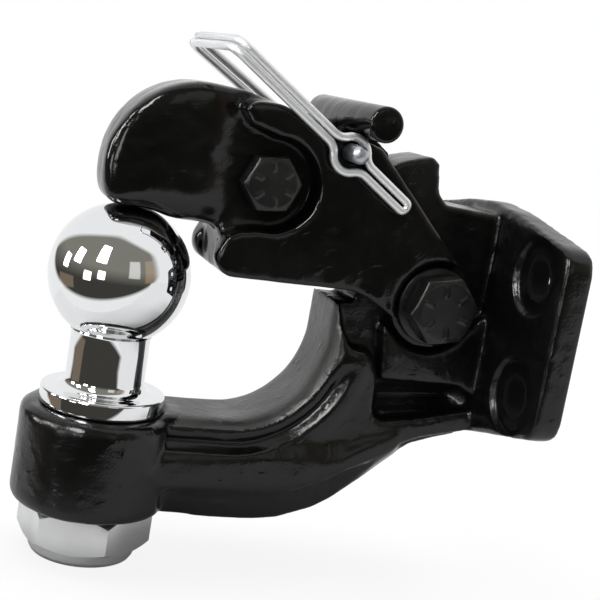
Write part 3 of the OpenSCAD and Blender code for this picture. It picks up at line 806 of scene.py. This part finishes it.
@dataclass
class BallSet:
    """Tow ball with its neck, collar and shank, and the lock nut below the boss.

    Attributes:
        x: Place of the ball's axis.
        ball_z: Height of the ball's centre.
        ball_r: Radius of the ball.
        flat: Distance from the ball's centre to its flat underside.
        neck_r: Radius of the neck.
        flare: Radius of the hollow between neck and collar.
        seat: Height of the boss top.
        collar_r: Radius of the collar.
        collar_h: Height of the collar.
        rim: Size of the rounded rims of collar and shank.
        shank_r: Radius of the shank.
        boss_low: Height of the boss bottom.
        shank_out: Length of shank below the boss.
        flats: Width of the nut across its flats.
        hex_h: Height of the nut's hex.
        insert_r: Radius of the nut's round end.
        insert_h: Height of the nut's round end.
        insert_in: Depth of the insert in it.
        insert_wall: Wall left round the insert.
        nut_turn: Angle of the nut's first corner.
    """

    x: float = -151.5
    ball_z: float = -0.3
    ball_r: float = 25.4
    flat: float = 21.2
    neck_r: float = 14.3
    flare: float = 4.0
    seat: float = -49.2
    collar_r: float = 22.5
    collar_h: float = 6.4
    rim: float = 1.0
    shank_r: float = 12.7
    boss_low: float = -85.7
    shank_out: float = 17.6
    flats: float = 43.0
    hex_h: float = 14.0
    insert_r: float = 19.4
    insert_h: float = 5.4
    insert_in: float = 2.4
    insert_wall: float = 3.6
    nut_turn: float = 39.6

    def ball_outline(self) -> list[Pair]:
        """Draws the ball, neck, collar and shank as one turning.

        Returns:
            Radius and height of each corner, from the ball's top down.
        """
        low = math.degrees(math.asin(-self.flat / self.ball_r))
        pts = arc((0.0, self.ball_z), self.ball_r, 90.0, low, 48)
        under = self.ball_z - self.flat
        top = self.seat + self.collar_h
        hollow = top + self.flare
        pts += [(self.neck_r + 0.5, under), (self.neck_r + 0.12, under - 0.2), (self.neck_r, under - 0.6)]
        pts += [(self.neck_r, hollow + (under - hollow) * t) for t in (0.66, 0.33)]
        pts += arc((self.neck_r + self.flare, hollow), self.flare, 180.0, 270.0, 12)
        pts += arc((self.collar_r - self.rim, top - self.rim), self.rim, 90.0, 0.0, 6)
        pts += arc((self.collar_r - self.rim, self.seat + self.rim), self.rim, 0.0, -90.0, 6)
        end = self.boss_low - self.shank_out
        pts += [(self.shank_r, self.seat), (self.shank_r, end + self.rim), (self.shank_r - self.rim, end), (0.0, end)]
        return pts

    def build_ball(self) -> None:
        """Turns the ball and sets it in the frame."""
        piece = Bench.turn("chrome_ball", (self.x, 0.0, 0.0), Axis.Z, self.ball_outline(), 128)
        Bench.smooth(piece, 35.0)
        Bench.place(piece, Body.FIXED, Slot.CHROME, "tow_ball")

    def build_nut(self) -> None:
        """Makes the lock nut: a hex with round chamfers, a round end and a bore."""
        low = self.boss_low - self.hex_h
        half = self.flats / 2
        seat, base = (self.x, 0.0, low), (self.x, 0.0, low - self.insert_h)
        nut = Bench.hex_prism("zinc_lock_nut", seat, Axis.Z, self.flats, self.hex_h, self.nut_turn)
        lens = [(0.0, -0.6), (half - 1.0, -0.6), (half + 0.8, 0.5), (half + 2.4, 1.5), (half + 4.0, 2.7),
                (half + 4.0, self.hex_h - 3.0), (half + 1.5, self.hex_h - 0.9), (half, self.hex_h), (0.0, self.hex_h)]
        Bench.lathe(nut, "INTERSECT", seat, Axis.Z, lens)
        end = [(0.0, 0.0), (self.insert_r - 2.2, 0.0), (self.insert_r - 0.8, 0.5), (self.insert_r, 1.8),
               (self.insert_r, self.insert_h + 1.0), (0.0, self.insert_h + 1.0)]
        Bench.lathe(nut, "UNION", base, Axis.Z, end)
        seat_r = self.insert_r - self.insert_wall
        bore = [(0.0, -1.0), (seat_r, -1.0), (seat_r, self.insert_in), (self.shank_r, self.insert_in),
                (self.shank_r, 40.0), (0.0, 40.0)]
        Bench.lathe(nut, "DIFFERENCE", base, Axis.Z, bore)
        Bench.apply(nut, "BEVEL", width=0.5 * MM, segments=3, limit_method="ANGLE", angle_limit=math.radians(24.0))
        Bench.smooth(nut, 32.0)
        # The nut takes the lighter zinc copy, painted light.
        Bench.place(nut, Body.FIXED, Slot.ZINC, "ball_lock_nut", finish=NUT_PAINTED_LIGHT)

    def build(self) -> None:
        """Makes the ball and its nut."""
        self.build_ball()
        self.build_nut()
        Bench.keep("nut_insert", Slot.NYLON)


@dataclass
class BoltSet:
    """Hex bolt along y with its nut and washers.

    Attributes:
        name: Name of the set.
        body: Body that it rides on.
        at: Place of the axis in x and z.
        diameter: Diameter of the shank.
        head_h: Height of the head.
        seat_near: Distance from the middle to the face under the head.
        seat_far: Distance from the middle to the face under the nut.
        nut_h: Height of the nut.
        turn: Angle of the first corner of head and nut.
        washers: CAD node of each washer, and distance of its first face from the middle.
        washer_r: Radius of the washers.
        washer_h: Thickness of the washers.
        thread_out: Thread that shows past the nut.
        voxel: Cell size of the painted skin.
        rounds: Rounds of smoothing of that skin.
    """

    name: str
    body: Body
    at: Pair
    diameter: float
    head_h: float
    seat_near: float
    seat_far: float
    nut_h: float
    turn: float
    washers: tuple[tuple[str, float], ...]
    washer_r: float
    washer_h: float
    thread_out: float = 3.0
    voxel: float = 0.4
    rounds: int = 3

    @property
    def flats(self) -> float:
        """Width across the flats of head and nut."""
        return self.diameter * 1.5

    def spot(self, y: float) -> Point:
        """Gives a place on the bolt's axis."""
        return self.at[0], y, self.at[1]

    def build_bolt(self) -> None:
        """Makes the bolt: chamfered hex head with six raised strength marks, and a shank."""
        af, r, top = self.flats, self.diameter / 2, -self.seat_near - self.head_h
        bolt = Bench.hex_prism(f"{self.name}_bolt_painted", self.spot(top), Axis.Y, af, self.head_h, self.turn)
        cap = [(0.0, 0.0), (af * 0.45, 0.0), (af * 0.62, af * 0.085), (af * 0.62, self.head_h + 1.0),
               (0.0, self.head_h + 1.0)]
        Bench.lathe(bolt, "INTERSECT", self.spot(top), Axis.Y, cap)
        end = self.seat_far + self.nut_h + self.thread_out
        shank = [(0.0, -self.seat_near - 1.0), (r, -self.seat_near - 1.0), (r, end - 1.0), (r - 1.0, end), (0.0, end)]
        Bench.lathe(bolt, "UNION", self.spot(0.0), Axis.Y, shank, 72)
        for k in range(6):
            Bench.carve(bolt, self.mark(k * 60.0 + 40.0, top), "UNION")
        self.paint(bolt, f"{self.name}_bolt")

    def paint(self, piece: Piece, node: str) -> None:
        """Gives a hex piece its painted skin and sets it in the frame.

        Args:
            piece: Bolt or nut.
            node: CAD node that it stands for.
        """
        Bench.skin(piece, self.voxel, self.rounds)
        Bench.smooth(piece)
        Bench.place(piece, self.body, Slot.STEEL, node)

    def mark(self, degrees: float, top: float) -> Piece:
        """Makes one raised strength mark on the head, in a direction from its axis."""
        x, z = along(self.at, self.flats * 0.33, degrees)
        return Bench.block("mark", (x, top, z), (self.flats * 0.15, 0.8, self.flats * 0.045), -degrees)

    def build_nut(self) -> None:
        """Makes the lock nut: a hex with a round end."""
        af, r, h, seat = self.flats, self.diameter / 2, self.nut_h, self.spot(self.seat_far)
        nut = Bench.hex_prism(f"{self.name}_nut_painted", seat, Axis.Y, af, h * 0.72, self.turn)
        lens = [(0.0, -1.0), (af * 0.62, -1.0), (af * 0.62, h * 0.6), (af * 0.48, h * 0.72), (af * 0.43, h * 0.8),
                (0.0, h * 0.8)]
        Bench.lathe(nut, "INTERSECT", seat, Axis.Y, lens)
        ring = [(0.0, 1.0), (af * 0.43, 1.0), (af * 0.43, h - 1.0), (af * 0.4, h), (0.0, h)]
        Bench.lathe(nut, "UNION", seat, Axis.Y, ring)
        bore = [(0.0, -1.0), (r, -1.0), (r, h + 1.0), (0.0, h + 1.0)]
        Bench.lathe(nut, "DIFFERENCE", seat, Axis.Y, bore, 72)
        self.paint(nut, f"{self.name}_nut")

    def build_washer(self, node: str, y: float) -> None:
        """Makes one washer with rounded rims.

        Args:
            node: CAD node that it stands for.
            y: Distance of its first face from the middle.
        """
        inner, wide, h, soft = self.diameter / 2 + 0.3, self.washer_r, self.washer_h, 0.4
        outline = [(inner, soft), (inner + soft, 0.0), (wide - soft, 0.0), (wide, soft), (wide, h - soft),
                   (wide - soft, h), (inner + soft, h), (inner, h - soft), (inner, soft)]
        piece = Bench.turn(f"{node}_painted", self.spot(y), Axis.Y, outline, 96)
        Bench.smooth(piece, 50.0)
        Bench.place(piece, self.body, Slot.STEEL, node)

    def build(self) -> None:
        """Makes the bolt, its nut and its washers."""
        self.build_bolt()
        self.build_nut()
        for node, y in self.washers:
            self.build_washer(node, y)


@dataclass
class CastJaw:
    """Upper jaw casting: nose, core and cheeks.

    Attributes:
        voxel: Cell size of the skin.
        rounds: Rounds of smoothing all over.
        nose_rounds: Further rounds on the nose.
        step_rounds: Further rounds where the nose runs into the wrench reliefs.
        nose_x: Place in x in front of which the nose lies.
        step_x: Place in x and share of the run into the reliefs.
        step_y: Distances from the middle that it lies between.
        step_z: Heights that it lies between.
        lump: Size and depth of the lumps in its skin.
    """

    voxel: float = 0.8
    rounds: int = 18
    nose_rounds: int = 110
    step_rounds: int = 60
    nose_x: float = -120.0
    step_x: Stops = ((-130.0, 0.0), (-126.0, 1.0), (-116.0, 1.0), (-112.0, 0.0))
    step_y: Pair = (9.0, 14.0)
    step_z: Pair = (24.0, 58.0)
    lump: Pair = (9.0, 0.3)

    def on_nose(self, p: Vector) -> float:
        """Weighs the nose, which has the roundest edges."""
        return ramp(self.nose_x - p.x, (0.0, 0.0), (6.0, 1.0))

    def on_step(self, p: Vector) -> float:
        """Weighs the sides where the nose runs into the wrench reliefs."""
        inside = self.step_y[0] <= abs(p.y) <= self.step_y[1] and self.step_z[0] < p.z < self.step_z[1]
        return ramp(p.x, *self.step_x) if inside else 0.0

    def build(self) -> None:
        """Casts the jaw and sets it in the frame."""
        piece = Bench.copy_node("upper_jaw", "cast_jaw")
        Bench.skin(piece, self.voxel, self.rounds)
        Bench.soften(piece, self.on_nose, self.nose_rounds)
        Bench.soften(piece, self.on_step, self.step_rounds)
        Bench.lumps(piece, *self.lump, everywhere)
        Bench.smooth(piece)
        Bench.place(piece, Body.JAW, Slot.PAINT, "upper_jaw")
        Bench.keep("lever_bushing", Slot.BRONZE)
        Bench.keep("pivot_bushing", Slot.BRONZE)


@dataclass
class LockSet:
    """Lock lever with its cross handle.

    Attributes:
        voxel: Cell size of the lever's skin.
        rounds: Rounds of smoothing.
        at: Place of the handle's axis in x and z.
        bar_r: Radius of the handle.
        bar_half: Half the length of the handle.
        rim: Radius of the handle's rims.
        tongue: Half width of the tongue that the handle sits on.
        tongue_up: Height of the tongue above the handle's axis.
        lever_half: Half the thickness of the tongue.
        pin_drop: Depth of the cross pin below the handle's axis.
        pin_r: Radius of the cross pin.
    """

    voxel: float = 0.5
    rounds: int = 5
    at: Pair = (-73.9, 67.4)
    bar_r: float = 6.35
    bar_half: float = 33.8
    rim: float = 1.2
    tongue: float = 3.8
    tongue_up: float = 1.2
    lever_half: float = 4.0
    pin_drop: float = 2.2
    pin_r: float = 1.6

    def build_lever(self) -> None:
        """Casts the lever and sets it in the frame."""
        piece = Bench.copy_node("lock_lever", "cast_lever")
        Bench.skin(piece, self.voxel, self.rounds)
        Bench.smooth(piece)
        Bench.place(piece, Body.LOCK, Slot.PAINT, "lock_lever")

    def build_bar(self) -> None:
        """Turns the handle, and cuts the slot for the tongue and the hole for its pin."""
        r, half, rim, spot = self.bar_r, self.bar_half, self.rim, (self.at[0], 0.0, self.at[1])
        end = arc((r - rim, half - rim), rim, 90.0, 0.0, 6)
        outline = [(0.0, -half), *((q, -h) for q, h in end), *reversed(end), (0.0, half)]
        bar = Bench.turn("cross_bar", spot, Axis.Y, outline, 64)
        size = (2.0 * self.tongue, 2.0 * self.lever_half, 2.0 * r + self.tongue_up)
        middle = (self.at[0], 0.0, self.at[1] - r + self.tongue_up / 2.0)
        Bench.carve(bar, Bench.block("tongue_slot", middle, size), "DIFFERENCE")
        low = (self.at[0], 0.0, self.at[1] - self.pin_drop)
        reach = self.lever_half + 6.0
        hole = [(0.0, -reach), (self.pin_r, -reach), (self.pin_r, reach), (0.0, reach)]
        Bench.lathe(bar, "DIFFERENCE", low, Axis.Y, hole, 32)
        Bench.smooth(bar, 40.0)
        Bench.place(bar, Body.LOCK, Slot.PAINT, "cross_handle")

    def build(self) -> None:
        """Makes the lever and its handle."""
        self.build_lever()
        self.build_bar()
        Bench.keep("handle_weld_pin", Slot.ZINC)
        Bench.keep("lock_spring", Slot.ZINC)


@dataclass
class SafetyPin:
    """Safety pin with its wire bail.

    Attributes:
        at: Place of the pin's axis in x and z.
        pin_r: Radius of the pin.
        tip_y: Distance of the tip from the middle.
        head_r: Radius of the head.
        head_y: Distance of the head from the middle.
        head_h: Height of the head.
        rim: Radius of the head's rims.
        wire_r: Radius of the wire.
        lean: Direction of the bail's near side, in degrees from x towards z.
        far_lean: Further lean of its far side.
        reach: Reach of the bail's near side to its cross run.
        far_reach: Further reach of its far side.
        strand: Half the distance between the two strands.
        strand_y: Distance of the near strands from the middle.
        eye: Radius of the eye round the pin's tip.
        eye_shift: Distance of the eye from the pin's axis, along the bail.
        near_off: Offset of the near wire across the bail.
        far_off: Offset of the far wire across the bail.
        tail: Reach of the closed tail.
        tail_half: Half width of the tail.
        flare: Radius of the bends into the eye.
        bend: Radius of the bends at the cross run.
    """

    at: Pair = (-80.4, 55.7)
    pin_r: float = 3.175
    tip_y: float = 32.5
    head_r: float = 6.2
    head_y: float = 21.4
    head_h: float = 8.0
    rim: float = 0.9
    wire_r: float = 1.5
    lean: float = 146.7
    far_lean: float = 2.4
    reach: float = 57.0
    far_reach: float = 2.6
    strand: float = 1.62
    strand_y: float = 24.1
    eye: float = 6.375
    eye_shift: float = 0.7
    near_off: float = 1.3
    far_off: float = 0.6
    tail: float = 27.0
    tail_half: float = 1.85
    flare: float = 6.0
    bend: float = 5.0

    def spot(self, u: float, v: float, y: float) -> Point:
        """Places a point of the wire.

        Args:
            u: Distance along the bail.
            v: Distance across the bail.
            y: Distance from the middle.

        Returns:
            The place in millimetres.
        """
        near = y < 0.0
        a = math.radians(self.lean if near else self.lean + self.far_lean)
        d = u if near else u * (1.0 + self.far_reach / self.reach)
        w = v + (self.near_off if near else self.far_off)
        return (self.at[0] + d * math.cos(a) - w * math.sin(a), y, self.at[1] + d * math.sin(a) + w * math.cos(a))

    def curl(self, u: float, v: float, r: float, start: float, end: float, steps: int) -> list[Point]:
        """Bends the near wire round a centre, from one direction in degrees to another."""
        return [self.spot(*place, -self.strand_y) for place in arc((u, v), r, start, end, steps)]

    def corner(self, v: float, y: float, side: float) -> list[Point]:
        """Bends a strand into the cross run, which lies to one side of it."""
        r, turn = self.bend, arc((0.0, 0.0), self.bend, 0.0, 90.0, 8)
        return [self.spot(self.reach - r + out, v, y + side * (r - back)) for back, out in turn]

    def half(self, s: float) -> list[Point]:
        """Routes half of the wire, from the head to the tip of the tail.

        Args:
            s: Side of the bail, 1 or -1.

        Returns:
            The points of the route.
        """
        in_u = math.sqrt((self.eye + self.flare) ** 2 - (self.strand + self.flare) ** 2)
        in_a = math.degrees(math.atan2(self.strand + self.flare, in_u))
        out_u = math.sqrt((self.eye + self.flare) ** 2 - (self.tail_half + self.flare) ** 2)
        out_a = math.degrees(math.atan2(self.tail_half + self.flare, out_u))
        far = self.head_y + self.head_h / 2
        pts = [self.spot(2.4, s * self.strand, far)]
        pts += self.corner(s * self.strand, far, -1.0)
        pts += list(reversed(self.corner(s * self.strand, -self.strand_y, 1.0)))
        mid, swell = self.eye_shift, self.flare
        pts += self.curl(mid + in_u, s * (self.strand + swell), swell, s * -90.0, s * (in_a - 180.0), 6)
        pts += self.curl(mid, 0.0, self.eye, s * in_a, s * (180.0 - out_a), 14)[1:]
        pts += self.curl(mid - out_u, s * (self.tail_half + swell), swell, s * -out_a, s * -90.0, 6)[1:]
        pts += self.curl(-self.tail, 0.0, self.tail_half, s * 90.0, s * 180.0, 6)
        return pts

    def build_wire(self) -> None:
        """Bends one length of wire along its route."""
        route = self.half(1.0) + list(reversed(self.half(-1.0)))[1:]
        bpy.ops.curve.primitive_nurbs_path_add()
        wire = Bench.named("bail_wire")
        wire.data.splines.clear()
        line = wire.data.splines.new("POLY")
        line.points.add(len(route) - 1)
        for point, place in zip(line.points, route):
            point.co = (*metres(place), 1.0)
        wire.data.dimensions = "3D"
        wire.data.bevel_depth = self.wire_r * MM
        wire.data.bevel_resolution = 5
        wire.data.use_fill_caps = True
        Bench.pick(wire)
        bpy.ops.object.convert(target="MESH")
        wire = bpy.context.object
        Bench.merge(wire)
        Bench.smooth(wire, 60.0)
        Bench.place(wire, Body.PIN, Slot.ZINC, "wire_bail", finish=BRIGHT_WIRE)

    def build_pin(self) -> None:
        """Turns the pin with its rounded tip and round head."""
        r, rim, low, high = self.pin_r, self.rim, self.head_y, self.head_y + self.head_h
        pts = [(out, -self.tip_y + 0.7 * (r - back)) for back, out in arc((0.0, 0.0), r, 0.0, 90.0, 9)]
        pts += [(r, low), (self.head_r - rim, low)]
        pts += arc((self.head_r - rim, low + rim), rim, -90.0, 0.0, 6)
        pts += arc((self.head_r - rim, high - rim), rim, 0.0, 90.0, 6)
        pts.append((0.0, high))
        piece = Bench.turn("plated_pin", (self.at[0], 0.0, self.at[1]), Axis.Y, pts, 64)
        Bench.smooth(piece, 40.0)
        Bench.place(piece, Body.PIN, Slot.ZINC, "safety_pin", finish=DULL_PIN)

    def build(self) -> None:
        """Makes the pin and its bail."""
        self.build_pin()
        self.build_wire()


@dataclass
class Window:
    """Bright window of the studio, mirrored by gloss and chrome.

    Attributes:
        turn: Direction round the object, in degrees.
        rise: Height above the horizon, in degrees.
        wide: Half width in degrees.
        tall: Half height in degrees.
        glow: Brightness.
        colour: Colour of its light.
    """

    turn: float
    rise: float
    wide: float
    tall: float
    glow: float
    colour: Rgb = (1.0, 1.0, 1.0)


@dataclass
class Limit:
    """Curved limit of the dark room that chrome mirrors.

    Attributes:
        middle: Direction round the object where it is straight, in degrees.
        bow: Rise for each squared degree beside that direction.
        edge: Where its soft edge starts and ends, in degrees.
        dark: Share of the dark room at both of them.
    """

    middle: float
    bow: float
    edge: Pair
    dark: Pair


@dataclass
class Studio:
    """White table before a darker room, with soft light and the camera.

    Attributes:
        eye: Place of the camera.
        turn: Direction of the camera round the object, in degrees.
        rise: Height of the camera above the horizon, in degrees.
        roll: Roll of the camera, in degrees.
        lens: Focal length for a sensor of 36 mm.
        table_z: Height of the table.
        edge_turn: Direction that the table's front edge faces, in degrees.
        edge_front: Distance of that edge from the ball.
        edge_left: Distance of its left end from the ball.
        painted_shadow: Colour of the painted shadow on the table close under the object.
        pale: Colour of the open table.
        white: Brightness of the table where it is seen.
        seen: Share of that brightness for the camera.
        mirrored: Share of that brightness in mirrored light.
        limits: Upper and lower limit of the dark room.
        right_end: Directions between which the dark room ends on its right.
        skirting: Heights between which its walls turn lighter, in degrees.
        wall_low: Colour of its walls below them.
        wall_high: Colour of its walls above them.
        bright: Colour of the surroundings beyond the dark room.
        fill: Brightness of the surroundings as a light.
        windows: Windows of the room.
    """

    eye: Point = (-240.17, -425.06, 76.92)
    turn: float = -20.389
    rise: float = 9.989
    roll: float = 9.804
    lens: float = 73.305
    table_z: float = -105.4
    edge_turn: float = -48.0
    edge_front: float = 80.0
    edge_left: float = 210.0
    painted_shadow: Rgb = (0.1, 0.1, 0.1)
    pale: Rgb = (0.6, 0.6, 0.6)
    white: float = 1.05
    seen: float = 0.85
    mirrored: float = 0.1
    limits: tuple[Limit, ...] = (
        Limit(-30.0, 0.0045, (64.0, 72.0), (1.0, 0.0)),
        Limit(-50.0, -0.004, (-40.0, -34.0), (0.0, 1.0)),
    )
    right_end: Pair = (44.0, 57.0)
    skirting: Pair = (-8.0, 14.0)
    wall_low: Rgb = (0.05, 0.048, 0.042)
    wall_high: Rgb = (0.23, 0.225, 0.195)
    bright: Rgb = (0.96, 0.96, 0.96)
    fill: float = 0.55
    windows: tuple[Window, ...] = (
        Window(-45.0, 34.0, 8.5, 13.0, 20.0),
        Window(-87.0, 19.0, 6.5, 9.0, 20.0),
        Window(-108.0, 6.0, 5.0, 7.0, 16.0),
        Window(-63.0, -3.0, 6.0, 6.0, 6.0),
        Window(-40.0, 2.0, 5.5, 6.0, 6.0),
        Window(12.0, 17.0, 9.0, 13.0, 0.5),
        Window(38.0, 14.0, 8.0, 16.0, 0.16, (1.0, 0.6, 0.25)),
        Window(-104.0, -16.0, 16.0, 7.0, 0.14, (1.0, 0.75, 0.5)),
    )

    def camera(self) -> None:
        """Sets up the camera at the photograph's angle."""
        a, r, back = math.radians(self.turn), math.radians(self.roll), heading(self.turn, self.rise)
        level = Vector((math.cos(a), math.sin(a), 0.0))
        right = level * math.cos(r) + back.cross(level) * math.sin(r)
        up = back.cross(right)
        bpy.ops.object.camera_add()
        cam = bpy.context.object
        cam.data.sensor_width = 36.0
        cam.data.lens = self.lens
        cam.data.clip_start = 0.01
        cam.matrix_world = Matrix.Translation(metres(self.eye)) @ Matrix((right, up, back)).transposed().to_4x4()
        bpy.context.scene.camera = cam

    def table(self) -> None:
        """Lays the white table that keeps the object's shadow, with a painted shadow darkening it close under the
        object.
        """
        a, half = math.radians(self.edge_turn), 2.0
        back, right = Vector((-math.sin(a), math.cos(a), 0.0)), Vector((math.cos(a), math.sin(a), 0.0))
        middle = metres((BallSet.x, 0.0, self.table_z)) + back * (half - self.edge_front * MM)
        middle += right * (half - self.edge_left * MM)
        bpy.ops.mesh.primitive_plane_add(size=2.0 * half, location=middle, rotation=(0.0, 0.0, a))
        floor = Bench.named("table")
        made = bpy.data.materials.new("table_white")
        made.use_nodes = True
        graph = Graph(made.node_tree)
        rays = graph.node("ShaderNodeLightPath")
        mirrored = graph.math("MAXIMUM", rays.outputs["Is Glossy Ray"], rays.outputs["Is Transmission Ray"])
        mirrored = graph.math("MULTIPLY", mirrored, self.mirrored)
        seen = graph.math("MULTIPLY", rays.outputs["Is Camera Ray"], self.seen)
        seen = graph.math("MAXIMUM", seen, mirrored)
        # Painted shadow: ambient occlusion darkens the table from pale towards the shadow colour close under the
        # object.
        share = graph.spread(graph.hollow(0.05), 0.3, 0.85, (0.0, 1.0))
        matt = graph.node("ShaderNodeBsdfDiffuse", {"Color": graph.blend(share, self.painted_shadow, self.pale)})
        glow = graph.node("ShaderNodeEmission", {"Strength": self.white})
        mix = graph.node("ShaderNodeMixShader", {0: seen, 1: matt.outputs[0], 2: glow.outputs[0]})
        graph.node("ShaderNodeOutputMaterial", {"Surface": mix.outputs[0]})
        floor.data.materials.append(made)

    def lamp(self, name: str, turn: float, rise: float, spread: float, power: float) -> None:
        """Adds a soft, even lamp that faces the object.

        Args:
            name: Name of the lamp.
            turn: Direction round the object, in degrees.
            rise: Height above the horizon, in degrees.
            spread: Angle that the lamp fills, in degrees.
            power: Power on a square metre, in watts.
        """
        way = heading(turn, rise)
        bpy.ops.object.light_add(type="SUN", location=metres((-90.0, 0.0, -20.0)) + way * 1.6)
        lamp = bpy.context.object
        lamp.name = name
        lamp.rotation_euler = way.to_track_quat("Z", "Y").to_euler()
        lamp.data.angle = math.radians(spread)
        lamp.data.energy = power
        lamp.visible_glossy = False

    def room(self) -> None:
        """Builds the surroundings: white all round, with a darker room and its windows in front."""
        world = bpy.data.worlds.new("studio")
        world.use_nodes = True
        bpy.context.scene.world = world
        graph = Graph(world.node_tree)
        way = graph.node("ShaderNodeSeparateXYZ", {0: graph.node("ShaderNodeTexCoord").outputs["Generated"]})
        x, y, z = way.outputs
        turn = graph.math("MULTIPLY", graph.math("ARCTAN2", x, graph.math("MULTIPLY", y, -1.0)), 180.0 / math.pi)
        rise = graph.math("MULTIPLY", graph.math("ARCSINE", z), 180.0 / math.pi)
        dark = graph.spread(turn, *self.right_end, (1.0, 0.0))
        for limit in self.limits:
            aside = graph.math("SUBTRACT", turn, limit.middle)
            bow = graph.math("MULTIPLY", graph.math("MULTIPLY", aside, aside), limit.bow)
            inside = graph.spread(graph.math("ADD", rise, bow), *limit.edge, limit.dark)
            dark = graph.math("MULTIPLY", dark, inside)
        wall = graph.blend(graph.spread(rise, *self.skirting, (0.0, 1.0)), self.wall_low, self.wall_high)
        shown = graph.blend(dark, self.bright, wall)
        both = graph.node("ShaderNodeBackground", {"Color": shown})
        for w in self.windows:
            across, up = (graph.math("ABSOLUTE", graph.math("SUBTRACT", *v)) for v in ((turn, w.turn), (rise, w.rise)))
            pane = graph.spread(across, w.wide - 1.0, w.wide + 1.0, (1.0, 0.0))
            pane = graph.math("MULTIPLY", pane, graph.spread(up, w.tall - 1.0, w.tall + 1.0, (1.0, 0.0)))
            strength = graph.math("MULTIPLY", pane, w.glow)
            glow = graph.node("ShaderNodeBackground", {"Color": (*w.colour, 1.0), "Strength": strength})
            both = graph.node("ShaderNodeAddShader", {0: both.outputs[0], 1: glow.outputs[0]})
        rays = graph.node("ShaderNodeLightPath").outputs
        clear = graph.math("MAXIMUM", rays["Is Camera Ray"], rays["Is Transmission Ray"])
        strength = graph.spread(clear, 0.0, 1.0, (self.fill, 1.0))
        plain = graph.node("ShaderNodeBackground", {"Color": (1.0, 1.0, 1.0, 1.0), "Strength": strength})
        mix = {0: rays["Is Glossy Ray"], 1: plain.outputs[0], 2: both.outputs[0]}
        graph.node("ShaderNodeOutputWorld", {"Surface": graph.node("ShaderNodeMixShader", mix).outputs[0]})

    def build(self) -> None:
        """Sets up the camera, table, lamps and surroundings."""
        self.camera()
        self.table()
        self.lamp("key_lamp", turn=-110.0, rise=62.0, spread=35.0, power=1.7)
        self.lamp("top_lamp", turn=150.0, rise=72.0, spread=45.0, power=1.5)
        self.room()
        bpy.context.scene.view_settings.view_transform = "Standard"


def main() -> None:
    """Builds the hook piece by piece and the studio round it."""
    logging.basicConfig(level=logging.INFO, format="%(name)s: %(message)s")
    Studio().build()
    CastBody().build()
    BallSet().build()
    CastJaw().build()
    BoltSet("pivot", Body.FIXED, at=(-35.3, 3.5), diameter=15.88, head_h=9.846, seat_near=18.9, seat_far=18.9,
            nut_h=13.498, turn=10.0, washers=(("pivot_washer_near", -18.9), ("pivot_washer_far", 16.4)),
            washer_r=14.77, washer_h=2.5).build()
    BoltSet("front", Body.JAW, at=(-106.1, 40.4), diameter=12.7, head_h=8.001, seat_near=11.5, seat_far=13.9,
            nut_h=11.43, turn=6.0, washers=(("front_washer_far", 11.5),), washer_r=12.38, washer_h=2.4).build()
    LockSet().build()
    SafetyPin().build()


if __name__ == "__main__":
    main()
